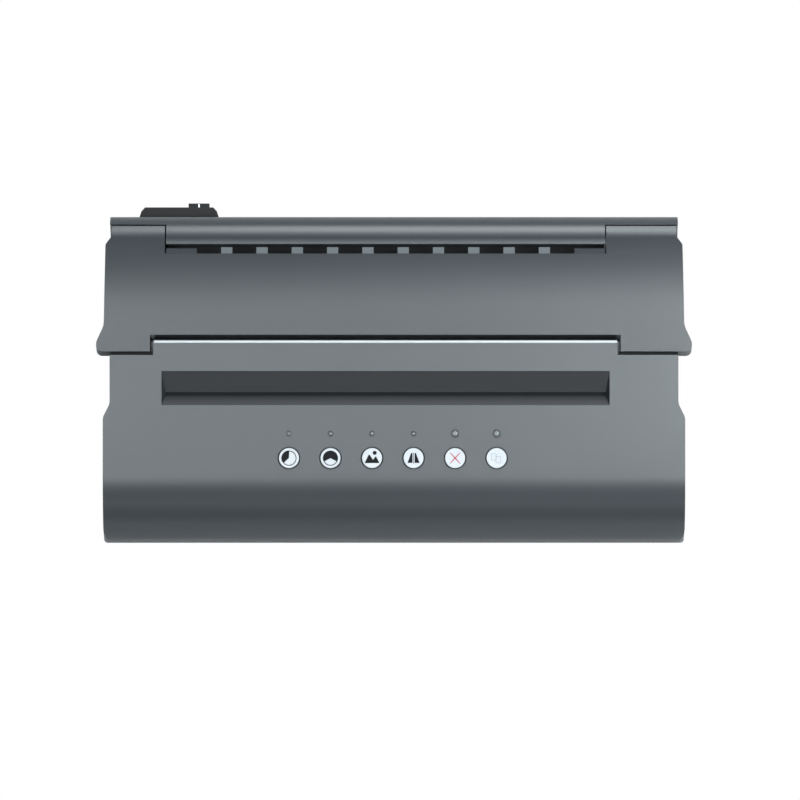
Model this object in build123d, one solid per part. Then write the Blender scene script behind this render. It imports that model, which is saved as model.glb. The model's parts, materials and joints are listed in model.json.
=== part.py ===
"""Thermal stencil copier: a flat office machine with a hinged lid over its platen roller.

Frame: X runs to the machine's right as its user sees it, Y runs from the nose to the back
and Z runs up. The model is drawn with y = 0 at the nose and is moved at the end, so that
the origin is the middle of the footprint at table height. All sizes are in millimetres.
"""

import os
from math import acos, atan2, cos, degrees, hypot, pi, radians, sin, sqrt, tan

from build123d import *

# ---- casing ---------------------------------------------------------------------------
WALL = 2.0  # moulded wall of every cover
FOOT_HEIGHT = 3.0
FOOT_RADIUS = 6.5
FOOT_STEM_RADIUS = 2.5
NOSE_LOWER_RADIUS = 6.8
NOSE_RADIUS = 34.0  # big round of the nose, tangent to the control panel
PANEL_ANGLE = 15.0  # slope of the control panel
PARTING_Z = 10.0  # joint line between the tray and the covers above it
SIDE_STEP = 3.4  # how far the S-curve draws each side in, behind the controls
WAIST_START_Y = 54.0
NOSE_EASE = 0.3  # extra wall at the very front of the nose
WAIST_END_Y = 60.5
PLAN_CORNER = 3.2
PANEL_REAR_Y = 89.8  # rear edge of the control panel's middle
SHOULDER_REAR_Y = 84.0  # rear edge of the panel's shoulders, beside the lid
REAR_Y = 156.0  # outer face of the rear wall
SEAM = 0.4  # gap between covers that don't move
MOVING_GAP = 0.4  # gap round the parts of the lid that turn inside the body

# ---- paper path -----------------------------------------------------------------------
PAPER_X = -4.2  # middle of both paper paths
PAPER_WIDTH = 220.0
ROLLER_SHORT = 2.0  # from a roller's end to the edge of the paper
DOC_SLOT_GAP = 1.8
NIP_GAP = 0.3  # gap left between a roller and what it presses on
PATH_RAMP_ANGLE = 31.0  # slope of the document ramp
SENSOR_ANGLE = 20.0  # slope of the image sensor's glass
RECESS_MARGIN = 1.7  # beside the paper, on both sides of the document recess
RECESS_FRONT_Y = 59.8
RECESS_REAR_Y = 76.3
RECESS_REACH = 7.35  # from the recess's front edge to its bottom, along the ramp
RECESS_WALL = 1.8

# ---- lid and hinge --------------------------------------------------------------------
HINGE_Y = 132.0
HINGE_Z = 62.0
HINGE_PIN_RADIUS = 2.0
HINGE_RUN = 0.05  # radial running clearance of the hinge
CHEEK_RADIUS = 17.4  # round cheeks of the lid, concentric with the hinge
LID_OVERHANG = 2.6  # from the body's waist to the lid's side
EAR_REACH = 4.1  # from the lid's side to the outer face of an ear
NECK_INSET = 0.8  # from the body's waist in to the lid's neck
DRIVE_CLEARANCE = 1.2  # between the motors and the wall beside them
LID_FRONT_Y = 85.5  # front edge of the lid's ears
LID_NOTCH_Y = 93.5  # front edge of the lid between the ears
NOTCH_MARGIN_LEFT = 7.4  # from the edge of the paper to the lid's notch
NOTCH_MARGIN_RIGHT = 7.2
LID_CREST_Y = 140.5
LID_CREST_Z = 69.7
LID_ARC_RADIUS = 139.9
LID_ROLL_RADIUS = 15.2
LID_REAR_Y = 133.4  # rear edge of the lid between its neck pieces
NECK_REAR_Y = 148.3
SKIRT_BOTTOM_Z = 51.0
RIM_BOTTOM_Z = 57.0  # underside of the rim along the lid's notch
COMB_COUNT = 10
COMB_PITCH = 17.6
COMB_WIDTH = 5.6
COMB_REAR_Y = 136.9
COMB_DROP = 0.9  # from the lid's crest to the top of the comb's teeth
COMB_DEPTH = 2.2
CAP_MARGIN = 0.3  # from the cap's ends in to the edges of the paper
CAP_LIP_Y = 138.2
CAP_ROLL_RADIUS = 15.5
STRIP_FRONT_Y = 148.75

# ---- rollers and gears ----------------------------------------------------------------
PLATEN_Y = 104.0
PLATEN_Z = 55.0
PLATEN_RADIUS = 6.0
SCAN_RADIUS = 6.5
FEED_RADIUS = 7.0
SHAFT_RADIUS = 3.0
RUN = 0.05  # radial running clearance of every shaft
MODULE = 0.8
PRESSURE_ANGLE = 25.0
TOOTH_THINNING = 0.05  # taken off each flank, so that a pair has backlash
FEED_TEETH = 26
SCAN_TEETH = 24
PLATEN_TEETH = 14
STENCIL_SMALL_TEETH = 14
STENCIL_LARGE_TEETH = 34
DOC_SMALL_TEETH = 12
DOC_LARGE_TEETH = 36
PINION_TEETH = 12
FRAME_THICKNESS = 1.5
FRAME_MARGIN = 5.5  # from the edge of the paper to the inner face of each side frame
INNER_GEAR_GAP = 1.0
INNER_GEAR_WIDTH = 5.0
OUTER_GEAR_WIDTH = 3.0
GEAR_PLATE_THICKNESS = 1.2
MOTOR_RADIUS = 17.5
MOTOR_LENGTH = 13.4

# ---- controls -------------------------------------------------------------------------
BUTTON_COUNT = 6
BUTTON_PITCH = 20.7
BUTTON_FIRST_X = -52.35
BUTTON_Y = 34.3
BUTTON_RADIUS = 5.35
BUTTON_GAP = 0.3
BUTTON_PROUD = 0.9
BUTTON_TRAVEL = 0.8
LED_Y = 46.1
SMALL_LED_RADIUS = 1.1
LARGE_LED_RADIUS = 1.75
SMALL_LED_COUNT = 4

# ---- details of the tray --------------------------------------------------------------
SIDE_WALL = 1.8
SIDE_WALL_FRONT_Y = 84.6
SIDE_WALL_REAR_Y = 148.5
SIDE_WALL_LOW_Z = 46.0
SIDE_WALL_TOP_Z = 54.0
FOOT_INSET = 17.2  # from the body's side to the middle of a foot
FOOT_FRONT_Y = 16.0
FOOT_REAR_INSET = 16.0
VENT_COUNT = 12
VENT_PITCH = 9.0
VENT_LENGTH = 26.0
VENT_WIDTH = 3.0
VENT_Y = 78.0
POST_INSET = 5.0  # from the neck's side to the left hinge post
POST_WIDTH = 3.4
RECESS_LIP_Y = 69.0
FEED_CONTACT_Y = 73.0  # where the feed tyres touch the document

# ---- details of the covers ------------------------------------------------------------
BODY_HEIGHT = 67.0  # from the tray's underside to the top of the cap
COVER_FRONT_Y = 136.0
DOC_EXIT_MARGIN = 2.0
DOC_EXIT_Z = 20.0
DOC_EXIT_HEIGHT = 6.0
INLET_HOLE = (-126.2, -89.0, 27.0, 48.6)
STRIP_Y = PANEL_REAR_Y
STRIP_WIDTH = 1.7
STRIP_METAL = 0.8
STRIP_DROP = 9.0
SKIRT_GAP = 0.6  # between the lid's skirt and the tray's side wall
CHEEK_WALL = 1.6
LUG_RADIUS = 5.5
LUG_WIDTH = 8.0
LUG_GAP = 1.0  # between the left lug and the tray's hinge post
RIGHT_LUG_GAP = 2.4  # between the right lug and the right frame
RIGHT_LUG_WIDTH = 6.4
ARM_WALL = 1.8
ARM_RADIUS = 5.0
ARM_MARGIN = 2.6  # from the edge of the paper to the outer face of a platen arm
BUSH_RADIUS = 4.0
LID_FRAME_Z = 58.6
LID_FRAME_FRONT_Y = 112.0
LID_FRAME_REAR_Y = 124.0
LID_RIB_COUNT = 7
STUD_RADIUS = 2.0
PINION_HUB_RADIUS = 3.2

# ---- details inside -------------------------------------------------------------------
FRAME_TOP_FRONT_Z = 36.0
FRAME_FRONT_Y = 26.0
FRAME_REAR_Y = 138.0
FRAME_DIP_Z = 50.0
FRAME_REAR_Z = 52.6
HEAD_DEPTH = 16.0
HEAD_THICKNESS = 2.4
SINK_THICKNESS = 4.2
SINK_FIN_COUNT = 5
SPRING_LENGTH = 3.6
SPRING_RADIUS = 2.6
SPRING_WIRE = 0.9
CROSS_BAR_DEPTH = 18.0
CROSS_BAR_LIP = 2.6
SENSOR_WIDTH = 14.0
SENSOR_HEIGHT = 10.0
SENSOR_GLASS = 1.2
GLASS_SEAT_END = 4.0  # from the sensor's ends to its glass
CHUTE_RADIUS = 9.6
CHUTE_WALL = 1.2
CHUTE_END_GAP = 0.6  # the curved guide ends inside the cap's ends, clear of the lid's neck
FEED_TYRE_COUNT = 3
FEED_TYRE_WIDTH = 26.0
FEED_TYRE_PITCH = 62.0
ROCKER_X = (-103.0, -92.5)
INLET_X = (-126.2, -104.6)
BEZEL_PROUD = 6.8
ROCKER_PROUD = 9.5
ROCKER_TILT = 12.0
ROCKER_HALF_HEIGHT = 9.0
ROCKER_AXIS_BACK = 3.0  # how far the rocker's axis lies behind the rear wall's outer face
INLET_BODY_DEPTH = 17.0
SOCKET_WIDTH = 19.0
SOCKET_HEIGHT = 15.0
SOCKET_DEPTH = 15.0
PIN_LENGTH = 12.0
BOARD_THICKNESS = 1.6
MAIN_BOARD = (-100.0, 60.0, 14.0, 60.0)
MAIN_BOARD_Z = 10.0
SUPPLY_BOARD = (-112.0, -40.0, 96.0, 146.0)
SUPPLY_BOARD_Z = 9.0
BUTTON_BOARD_DROP = 8.0  # from the panel's face to the button board's face
BUTTON_BOARD_HALF = 13.0  # half depth of the board, along the panel
BUTTON_BOARD_END = 12.0  # from the outer buttons to the board's ends
BOARD_BOSS_RADIUS = 2.2
HEAD_MARGIN = 1.0  # from the edge of the paper to the end of the print head
SENSOR_MARGIN = 3.0
SWITCH_SIZE = 6.0
SWITCH_HEIGHT = 3.5
BUTTON_FLANGE = 1.0
DOC_EXIT_ANGLE = 11.0

# ---- worked out from the sizes above --------------------------------------------------
SLOPE = tan(radians(PANEL_ANGLE))
FAR = 400.0  # beyond every side of the machine
PAPER_LEFT = PAPER_X - PAPER_WIDTH / 2
PAPER_RIGHT = PAPER_X + PAPER_WIDTH / 2
RECESS_LEFT, RECESS_RIGHT = PAPER_LEFT - RECESS_MARGIN, PAPER_RIGHT + RECESS_MARGIN
LID_NOTCH_LEFT, LID_NOTCH_RIGHT = PAPER_LEFT - NOTCH_MARGIN_LEFT, PAPER_RIGHT + NOTCH_MARGIN_RIGHT
CAP_LEFT, CAP_RIGHT = PAPER_LEFT + CAP_MARGIN, PAPER_RIGHT - CAP_MARGIN
ARM_LEFT, ARM_RIGHT = PAPER_LEFT - ARM_MARGIN, PAPER_RIGHT + ARM_MARGIN
ROLLER_LEFT, ROLLER_RIGHT = PAPER_LEFT + ROLLER_SHORT, PAPER_RIGHT - ROLLER_SHORT
HEAD_LEFT, HEAD_RIGHT = PAPER_LEFT - HEAD_MARGIN, PAPER_RIGHT + HEAD_MARGIN
SENSOR_LEFT, SENSOR_RIGHT = PAPER_LEFT - SENSOR_MARGIN, PAPER_RIGHT + SENSOR_MARGIN
BODY_BOTTOM_Z = FOOT_HEIGHT
FLOOR_Z = BODY_BOTTOM_Z + WALL
NOSE_CORNER_Z = PARTING_Z + NOSE_RADIUS * tan(radians(45 - PANEL_ANGLE / 2))
FRAME_RIGHT = PAPER_RIGHT + FRAME_MARGIN
FRAME_LEFT = PAPER_LEFT - FRAME_MARGIN
INNER_GEAR_X = FRAME_RIGHT + FRAME_THICKNESS + INNER_GEAR_GAP
OUTER_GEAR_X = INNER_GEAR_X + INNER_GEAR_WIDTH + 0.6
GEAR_PLATE_X = OUTER_GEAR_X + OUTER_GEAR_WIDTH + 1.0
MOTOR_X = GEAR_PLATE_X + GEAR_PLATE_THICKNESS
# the drive beside the paper path sets the width of every cover
NECK_HALF = MOTOR_X + MOTOR_LENGTH + DRIVE_CLEARANCE + SIDE_WALL
WAIST_HALF = NECK_HALF + NECK_INSET
BODY_HALF = WAIST_HALF + SIDE_STEP  # half width of the front of the body
LID_HALF = WAIST_HALF + LID_OVERHANG
EAR_HALF = LID_HALF + EAR_REACH
FOOT_PLACES = [
    (x, y)
    for x in (FOOT_INSET - BODY_HALF, BODY_HALF - FOOT_INSET)
    for y in (FOOT_FRONT_Y, REAR_Y - FOOT_REAR_INSET)
]
POST_LEFT = POST_INSET - NECK_HALF
POST_RIGHT = POST_LEFT + POST_WIDTH
RIGHT_LUG_LEFT = FRAME_RIGHT + FRAME_THICKNESS + RIGHT_LUG_GAP
LUG_X = [
    (POST_RIGHT + LUG_GAP, POST_RIGHT + LUG_GAP + LUG_WIDTH),
    (RIGHT_LUG_LEFT, RIGHT_LUG_LEFT + RIGHT_LUG_WIDTH),
]
DEPTH = REAR_Y + ROCKER_PROUD
NIP_Z = PLATEN_Z - PLATEN_RADIUS - NIP_GAP
BUTTON_X = [BUTTON_FIRST_X + i * BUTTON_PITCH for i in range(BUTTON_COUNT)]
BOARD_BOSS_X = [
    BUTTON_X[0] - BUTTON_BOARD_END + 3,
    (BUTTON_X[2] + BUTTON_X[3]) / 2,
    BUTTON_X[-1] + BUTTON_BOARD_END - 3,
]
LED_PLACES = [
    (x, SMALL_LED_RADIUS if i < SMALL_LED_COUNT else LARGE_LED_RADIUS)
    for i, x in enumerate(BUTTON_X)
]


def panel_z(y, depth=0.0):
    """Height of the control panel at y, or of a plane lying depth under it."""
    return NOSE_CORNER_Z + y * SLOPE - depth / cos(radians(PANEL_ANGLE))


def outline(*points, radii=0):
    """A closed outline; radii rounds its corners, with one radius for each point."""
    if isinstance(radii, (int, float)) and radii == 0:
        return make_face(Polyline(*points, close=True))
    return make_face(FilletPolyline(*points, radius=radii, close=True))


def across(face, left, right):
    """A side view (y, z) carried across the machine from x = left to x = right."""
    return extrude(Plane.YZ.offset(left) * face, right - left)


def upright(face, bottom, top):
    """A plan (x, y) carried up from z = bottom to z = top."""
    return extrude(Plane.XY.offset(bottom) * face, top - bottom)


def block(left, right, front, rear, bottom, top):
    """A rectangular block given by its six sides."""
    size = (right - left, rear - front, top - bottom)
    centre = ((left + right) / 2, (front + rear) / 2, (bottom + top) / 2)
    return Pos(*centre) * Box(*size)


def rod(radius, left, right, y, z):
    """A cylinder along X about the axis (y, z)."""
    return Pos((left + right) / 2, y, z) * Rot(0, 90, 0) * Cylinder(radius, right - left)


def post(radius, x, y, bottom, top):
    """A cylinder along Z."""
    return Pos(x, y, (bottom + top) / 2) * Cylinder(radius, top - bottom)


def disc(radius, y=HINGE_Y, z=HINGE_Z):
    """A round side view about (y, z), by default about the lid's hinge."""
    return Pos(y, z) * Circle(radius)


# ---- outlines that several parts share ------------------------------------------------
def body_plan(inset=0.0):
    """Plan of the body: wide at the front, drawn in by an S-curve to the waist."""
    wide = BODY_HALF - inset
    waist = WAIST_HALF - inset
    front = inset + (NOSE_EASE if inset else 0)
    right = [
        (wide, front),
        (wide, WAIST_START_Y),
        (waist, WAIST_END_Y),
        (waist, REAR_Y - inset),
    ]
    corner = max(PLAN_CORNER - inset, 0.6)
    rounds = [corner, 6.0, 6.0, corner]
    left = [(-x, y) for x, y in reversed(right)]
    return outline(*right, *left, radii=rounds + rounds[::-1])


def front_side(inset, rear_y, bottom):
    """Side view of the front of the body: nose rounds, then the sloping panel."""
    return outline(
        (rear_y, bottom),
        (inset, bottom),
        (inset, NOSE_CORNER_Z - inset * (1 / cos(radians(PANEL_ANGLE)) - SLOPE)),
        (rear_y, panel_z(rear_y, inset)),
        radii=[0, NOSE_LOWER_RADIUS - inset, NOSE_RADIUS - inset, 0],
    )


def lid_side(inset, front_y=80.0):
    """Side view of the room under the lid's top: slope, long arc, then the rear roll."""
    arc_centre = (LID_CREST_Y, LID_CREST_Z - LID_ARC_RADIUS)
    roll_centre = (LID_CREST_Y, LID_CREST_Z - LID_ROLL_RADIUS)
    arc = CenterArc(arc_centre, LID_ARC_RADIUS - inset, 90, PANEL_ANGLE)
    roll = CenterArc(roll_centre, LID_ROLL_RADIUS - inset, 0, 90)
    slope_end = arc @ 1
    front_top = (front_y, slope_end.Y - (slope_end.X - front_y) * SLOPE)
    roll_end = roll @ 0
    base_z = 20.0
    return make_face(
        [
            arc,
            roll,
            Line(slope_end, front_top),
            Line(front_top, (front_y, base_z)),
            Line((front_y, base_z), (roll_end.X, base_z)),
            Line((roll_end.X, base_z), roll_end),
        ]
    )


# ---- covers ---------------------------------------------------------------------------
def make_base_tray():
    """Shallow tray with the side walls under the lid, the feet's seats and the posts."""
    body = upright(body_plan(), BODY_BOTTOM_Z, PARTING_Z) & across(
        front_side(0, REAR_Y, BODY_BOTTOM_Z), -BODY_HALF, BODY_HALF
    )
    hollow = upright(body_plan(WALL), FLOOR_Z, PARTING_Z + 1) & across(
        front_side(WALL, REAR_Y, FLOOR_Z), -BODY_HALF, BODY_HALF
    )
    tray = body - hollow
    wall = outline(
        (SIDE_WALL_FRONT_Y, FLOOR_Z - 0.5),
        (SIDE_WALL_REAR_Y, FLOOR_Z - 0.5),
        (SIDE_WALL_REAR_Y, SIDE_WALL_LOW_Z),
        (HINGE_Y, SIDE_WALL_LOW_Z),
        (HINGE_Y, SIDE_WALL_TOP_Z),
        (SIDE_WALL_FRONT_Y, SIDE_WALL_TOP_Z),
    ) - disc(CHEEK_RADIUS + MOVING_GAP)
    for side in (-1, 1):
        inner, outer = sorted((side * (NECK_HALF - SIDE_WALL), side * NECK_HALF))
        tray += across(wall, inner, outer)
    for x, y in FOOT_PLACES:
        tray -= post(FOOT_STEM_RADIUS, x, y, BODY_BOTTOM_Z - 1, FLOOR_Z + 1)
    for i in range(VENT_COUNT):
        x = (i - (VENT_COUNT - 1) / 2) * VENT_PITCH
        slot = Pos(x, VENT_Y) * SlotOverall(VENT_LENGTH, VENT_WIDTH, rotation=90)
        tray -= upright(slot, BODY_BOTTOM_Z - 1, FLOOR_Z + 1)
    boss = 2 * HINGE_PIN_RADIUS
    tray += block(POST_LEFT, POST_RIGHT, HINGE_Y - boss, HINGE_Y + boss, FLOOR_Z - 0.5, HINGE_Z)
    tray += rod(boss, POST_LEFT, POST_RIGHT, HINGE_Y, HINGE_Z)
    tray -= rod(HINGE_PIN_RADIUS, POST_LEFT - 1, POST_RIGHT + 1, HINGE_Y, HINGE_Z)
    return tray


def recess_lines():
    """Corners of the document recess: front edge, far ramp end, slot lip and rear edge."""
    ramp = (cos(radians(PATH_RAMP_ANGLE)), -sin(radians(PATH_RAMP_ANGLE)))
    normal = (-ramp[1], ramp[0])
    front = (RECESS_FRONT_Y, panel_z(RECESS_FRONT_Y))
    deep = (front[0] + ramp[0] * 22, front[1] + ramp[1] * 22)
    deep_upper = (deep[0] + normal[0] * DOC_SLOT_GAP, deep[1] + normal[1] * DOC_SLOT_GAP)
    lip = (
        front[0] + normal[0] * DOC_SLOT_GAP + ramp[0] * RECESS_REACH,
        front[1] + normal[1] * DOC_SLOT_GAP + ramp[1] * RECESS_REACH,
    )
    rear = (RECESS_REAR_Y, panel_z(RECESS_REAR_Y))
    return front, deep, deep_upper, lip, rear


def make_front_panel():
    """Nose, control panel and sides in one shell, with the document recess and slot."""
    shell = upright(body_plan(), PARTING_Z, 70) & across(
        front_side(0, PANEL_REAR_Y, BODY_BOTTOM_Z), -BODY_HALF, BODY_HALF
    )
    shell -= upright(body_plan(WALL), PARTING_Z - 1, 70) & across(
        front_side(WALL, REAR_Y, FLOOR_Z), -BODY_HALF, BODY_HALF
    )
    shell -= block(LID_NOTCH_RIGHT - 1.6, BODY_HALF, SHOULDER_REAR_Y, REAR_Y, 0, 80)
    shell -= block(-BODY_HALF, LID_NOTCH_LEFT + 1.6, SHOULDER_REAR_Y, REAR_Y, 0, 80)
    front, deep, deep_upper, lip, rear = recess_lines()
    trough = outline(
        (front[0] - 3.5, panel_z(front[0] - 3.5, 1.0)),
        (RECESS_LIP_Y - 2.5, 44.4),
        (RECESS_LIP_Y, 44.4),
        (lip[0] + 1.6, lip[1] - 2.2),
        (rear[0] + 2.4, panel_z(rear[0] + 2.4, 1.0)),
    )
    trough -= disc(FEED_RADIUS + 0.6, *FEED)
    shell += across(trough, RECESS_LEFT - RECESS_WALL, RECESS_RIGHT + RECESS_WALL)
    above = (2 * rear[0] - lip[0], 2 * rear[1] - lip[1])  # the rear wall's line carried on
    cut = outline(
        (front[0] - 10 * cos(radians(PATH_RAMP_ANGLE)), front[1] + 10 * sin(radians(PATH_RAMP_ANGLE))),
        deep,
        deep_upper,
        lip,
        above,
    )
    shell -= across(cut, RECESS_LEFT, RECESS_RIGHT)
    for x in BUTTON_X:
        shell -= panel_rod(BUTTON_RADIUS + BUTTON_GAP, x, BUTTON_Y, -4, 2)
    for x, radius in LED_PLACES:
        shell -= panel_rod(radius, x, LED_Y, -4, 2)
    for x in BOARD_BOSS_X:
        shell += panel_rod(BOARD_BOSS_RADIUS, x, (BUTTON_Y + LED_Y) / 2, -BUTTON_BOARD_DROP, -WALL / 2)
    return shell


def panel_rod(radius, x, y, low, high):
    """A cylinder square to the control panel, from low to high measured from its face."""
    middle = (low + high) / 2
    tilt = radians(PANEL_ANGLE)
    place = Pos(x, y - sin(tilt) * middle, panel_z(y) + cos(tilt) * middle)
    return place * Rot(PANEL_ANGLE, 0, 0) * Cylinder(radius, high - low)


def make_exit_strip():
    """Bright tear strip behind the panel, folded down as the stencil's lower guide."""
    top_z = panel_z(PANEL_REAR_Y) - 0.1
    fold = outline(
        (STRIP_Y, top_z),
        (STRIP_Y, top_z - STRIP_DROP),
        (STRIP_Y + STRIP_METAL, top_z - STRIP_DROP),
        (STRIP_Y + STRIP_METAL, top_z - STRIP_METAL - 0.3),
        (STRIP_Y + STRIP_WIDTH, top_z - STRIP_METAL - 0.3),
        (STRIP_Y + STRIP_WIDTH, top_z),
    )
    return across(fold, FRAME_LEFT, FRAME_RIGHT)


def make_rear_cover():
    """Rear wall, rolled top and the cap whose lip overhangs the stencil slot."""
    roll_centre = (LID_CREST_Y, FOOT_HEIGHT + BODY_HEIGHT - CAP_ROLL_RADIUS)

    def cover_side(inset, front_y):
        top = roll_centre[1] + CAP_ROLL_RADIUS - inset
        rear = REAR_Y - inset
        roll = CenterArc(roll_centre, CAP_ROLL_RADIUS - inset, 0, 90)
        return make_face(
            [
                roll,
                Line((LID_CREST_Y, top), (front_y, top)),
                Line((front_y, top), (front_y, PARTING_Z)),
                Line((front_y, PARTING_Z), (rear, PARTING_Z)),
                Line((rear, PARTING_Z), (rear, roll_centre[1])),
            ]
        )

    outer = cover_side(0, CAP_LIP_Y) - cover_side(WALL, CAP_LIP_Y - 1)
    strip = outline((STRIP_FRONT_Y, 0), (FAR, 0), (FAR, FAR), (STRIP_FRONT_Y, FAR))
    cap = across(outer, CAP_LEFT, CAP_RIGHT)
    back = across((outer & strip) - disc(CHEEK_RADIUS + MOVING_GAP), -WAIST_HALF, WAIST_HALF)
    side = cover_side(0, COVER_FRONT_Y) & outline(
        (REAR_Y, PARTING_Z),
        (REAR_Y, FAR),
        (LID_CREST_Y, FAR),
        (LID_CREST_Y, SIDE_WALL_LOW_Z + SEAM),
        (SIDE_WALL_REAR_Y + SEAM, SIDE_WALL_LOW_Z + SEAM),
        (SIDE_WALL_REAR_Y + SEAM, PARTING_Z),
    )
    side -= disc(CHEEK_RADIUS + MOVING_GAP)
    cover = cap + back
    for edge in (-1, 1):
        inner, outer_x = sorted((edge * (WAIST_HALF - WALL), edge * WAIST_HALF))
        cover += across(side, inner, outer_x)
    exit_left, exit_right = PAPER_LEFT - DOC_EXIT_MARGIN, PAPER_RIGHT + DOC_EXIT_MARGIN
    cover -= block(exit_left, exit_right, REAR_Y - 6, REAR_Y + 1, DOC_EXIT_Z, DOC_EXIT_Z + DOC_EXIT_HEIGHT)
    left, right, low, high = INLET_HOLE
    cover -= block(left, right, REAR_Y - 6, REAR_Y + 1, low, high)
    return cover


def lid_plan():
    """Plan of the lid: wide ears in front, straight sides, narrow neck at the back."""
    right = [
        (EAR_HALF, LID_FRONT_Y),
        (EAR_HALF, LID_FRONT_Y + 4.6),
        (LID_HALF + 0.3, LID_FRONT_Y + 12.5),
        (LID_HALF - 0.5, HINGE_Y + 6.2),
        (NECK_HALF, HINGE_Y + 10.2),
        (NECK_HALF, NECK_REAR_Y),
    ]
    rounds = [3.0, 5.0, 9.0, 2.6, 2.6, 0]
    left = [(-x, y) for x, y in reversed(right)]
    return outline(*right, *left, radii=rounds + rounds[::-1])


def make_lid_shell():
    """Lid: curved top, hanging skirts with finger ears, neck, comb ribs and hinge lugs."""
    plan = upright(lid_plan(), 0, FAR)
    plan -= block(LID_NOTCH_LEFT, LID_NOTCH_RIGHT, 0, LID_NOTCH_Y, -1, FAR + 1)
    plan -= block(CAP_LEFT - SEAM, CAP_RIGHT + SEAM, LID_REAR_Y, FAR, -1, FAR + 1)
    skin = across(lid_side(0) - lid_side(WALL, 70.0), -FAR, FAR)
    skin -= block(-FAR - 1, FAR + 1, 0, FAR, -FAR, SKIRT_BOTTOM_Z)
    shell = plan & skin
    under = lid_side(0.5, 84.0)
    skirt_side = outline(
        (84, SKIRT_BOTTOM_Z), (HINGE_Y, SKIRT_BOTTOM_Z), (HINGE_Y, 90), (84, 90)
    ) + disc(HINGE_Z - SKIRT_BOTTOM_Z)
    skirt = plan & across(under & skirt_side, -EAR_HALF, EAR_HALF)
    inner_half = NECK_HALF + SKIRT_GAP
    skirt -= block(-inner_half, inner_half, 0, FAR, -FAR, FAR)
    cheek = disc(CHEEK_RADIUS) & under
    lug = (disc(LUG_RADIUS) + Pos(HINGE_Y, HINGE_Z + 5) * Rectangle(9, 10)) & lid_side(1.0)
    rim = outline(
        (LID_NOTCH_Y, RIM_BOTTOM_Z),
        (LID_NOTCH_Y + WALL, RIM_BOTTOM_Z),
        (LID_NOTCH_Y + WALL, LID_CREST_Z),
        (LID_NOTCH_Y, LID_CREST_Z),
    ) & under
    shell += skirt
    shell += across(rim, LID_NOTCH_LEFT - WALL, LID_NOTCH_RIGHT + WALL)
    for edge in (-1, 1):
        inner, outer = sorted((edge * (NECK_HALF - CHEEK_WALL), edge * NECK_HALF))
        shell += across(cheek, inner, outer)
        inner, outer = sorted((edge * (NECK_HALF - 0.6), edge * (inner_half + 1)))
        shell += across(under & (disc(9.0) + Pos(110, 60) * Rectangle(44, 6)) & skirt_side, inner, outer)
    for left, right in LUG_X:
        shell += across(lug, left, right)
        shell -= rod(HINGE_PIN_RADIUS + HINGE_RUN, left - 1, right + 1, HINGE_Y, HINGE_Z)
    comb_top = LID_CREST_Z - COMB_DROP
    tooth = outline(
        (LID_REAR_Y - 2, comb_top),
        (LID_REAR_Y - 2, comb_top - COMB_DEPTH),
        (COMB_REAR_Y - 0.8, comb_top - COMB_DEPTH + 0.2),
        (COMB_REAR_Y, comb_top - COMB_DEPTH + 1.0),
        (COMB_REAR_Y, comb_top),
    )
    for i in range(COMB_COUNT):
        x = PAPER_X + (i - (COMB_COUNT - 1) / 2) * COMB_PITCH
        shell += across(tooth, x - COMB_WIDTH / 2, x + COMB_WIDTH / 2)
    return shell


def make_lid_frame():
    """Moulded carrier under the lid: a ribbed cross plate and two arms for the platen."""
    z = LID_FRAME_Z
    plate = block(ARM_LEFT, ARM_RIGHT, LID_FRAME_FRONT_Y, LID_FRAME_REAR_Y, z, z + ARM_WALL)
    rib_side = outline(
        (LID_FRAME_FRONT_Y + 1, z),
        (LID_FRAME_REAR_Y - 1, z),
        (LID_FRAME_REAR_Y - 1, 90),
        (LID_FRAME_FRONT_Y + 1, 90),
    ) & lid_side(WALL)
    arm = outline(
        (PLATEN_Y, PLATEN_Z - ARM_RADIUS),
        (PLATEN_Y, PLATEN_Z + ARM_RADIUS - 0.2),
        (LID_FRAME_FRONT_Y, z + ARM_WALL),
        (LID_FRAME_REAR_Y, z + ARM_WALL),
        (LID_FRAME_REAR_Y, z - 1),
        (LID_FRAME_FRONT_Y, z - 3),
    ) + disc(ARM_RADIUS, PLATEN_Y, PLATEN_Z)
    frame = plate
    for i in range(LID_RIB_COUNT):
        x = ARM_LEFT + (ARM_RIGHT - ARM_LEFT) * i / (LID_RIB_COUNT - 1)
        x = min(max(x, ARM_LEFT + ARM_WALL / 2), ARM_RIGHT - ARM_WALL / 2)
        frame += across(rib_side, x - ARM_WALL / 2, x + ARM_WALL / 2)
    for left in (ARM_LEFT, ARM_RIGHT - ARM_WALL):
        frame += across(arm, left, left + ARM_WALL)
        frame -= rod(BUSH_RADIUS, left - 1, left + ARM_WALL + 1, PLATEN_Y, PLATEN_Z)
    return frame


# ---- gears ----------------------------------------------------------------------------
def pitch_radius(teeth):
    return MODULE * teeth / 2


def gear_face(teeth, phase):
    """Spur gear side view: involute flanks drawn through their root, pitch and tip points.

    The half angle of a tooth at radius r is that at the pitch circle plus the involute
    function of the pressure angle less that of the angle at r. phase turns one tooth's
    middle to that angle, in radians from +Y towards +Z.
    """
    pitch = pitch_radius(teeth)
    base = pitch * cos(radians(PRESSURE_ANGLE))

    def involute(angle):
        return tan(angle) - angle

    def half_angle(radius):
        at = acos(base / max(radius, base))
        middle = pi / (2 * teeth) - TOOTH_THINNING / pitch
        return middle + involute(radians(PRESSURE_ANGLE)) - involute(at)

    radii = [pitch - 1.25 * MODULE, pitch, pitch + 0.95 * MODULE]
    points = []
    for i in range(teeth):
        middle = phase + 2 * pi * i / teeth
        flank = [(r, half_angle(r)) for r in radii]
        points += [(r * cos(middle - a), r * sin(middle - a)) for r, a in flank]
        points += [(r * cos(middle + a), r * sin(middle + a)) for r, a in reversed(flank)]
    return outline(*points)


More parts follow.
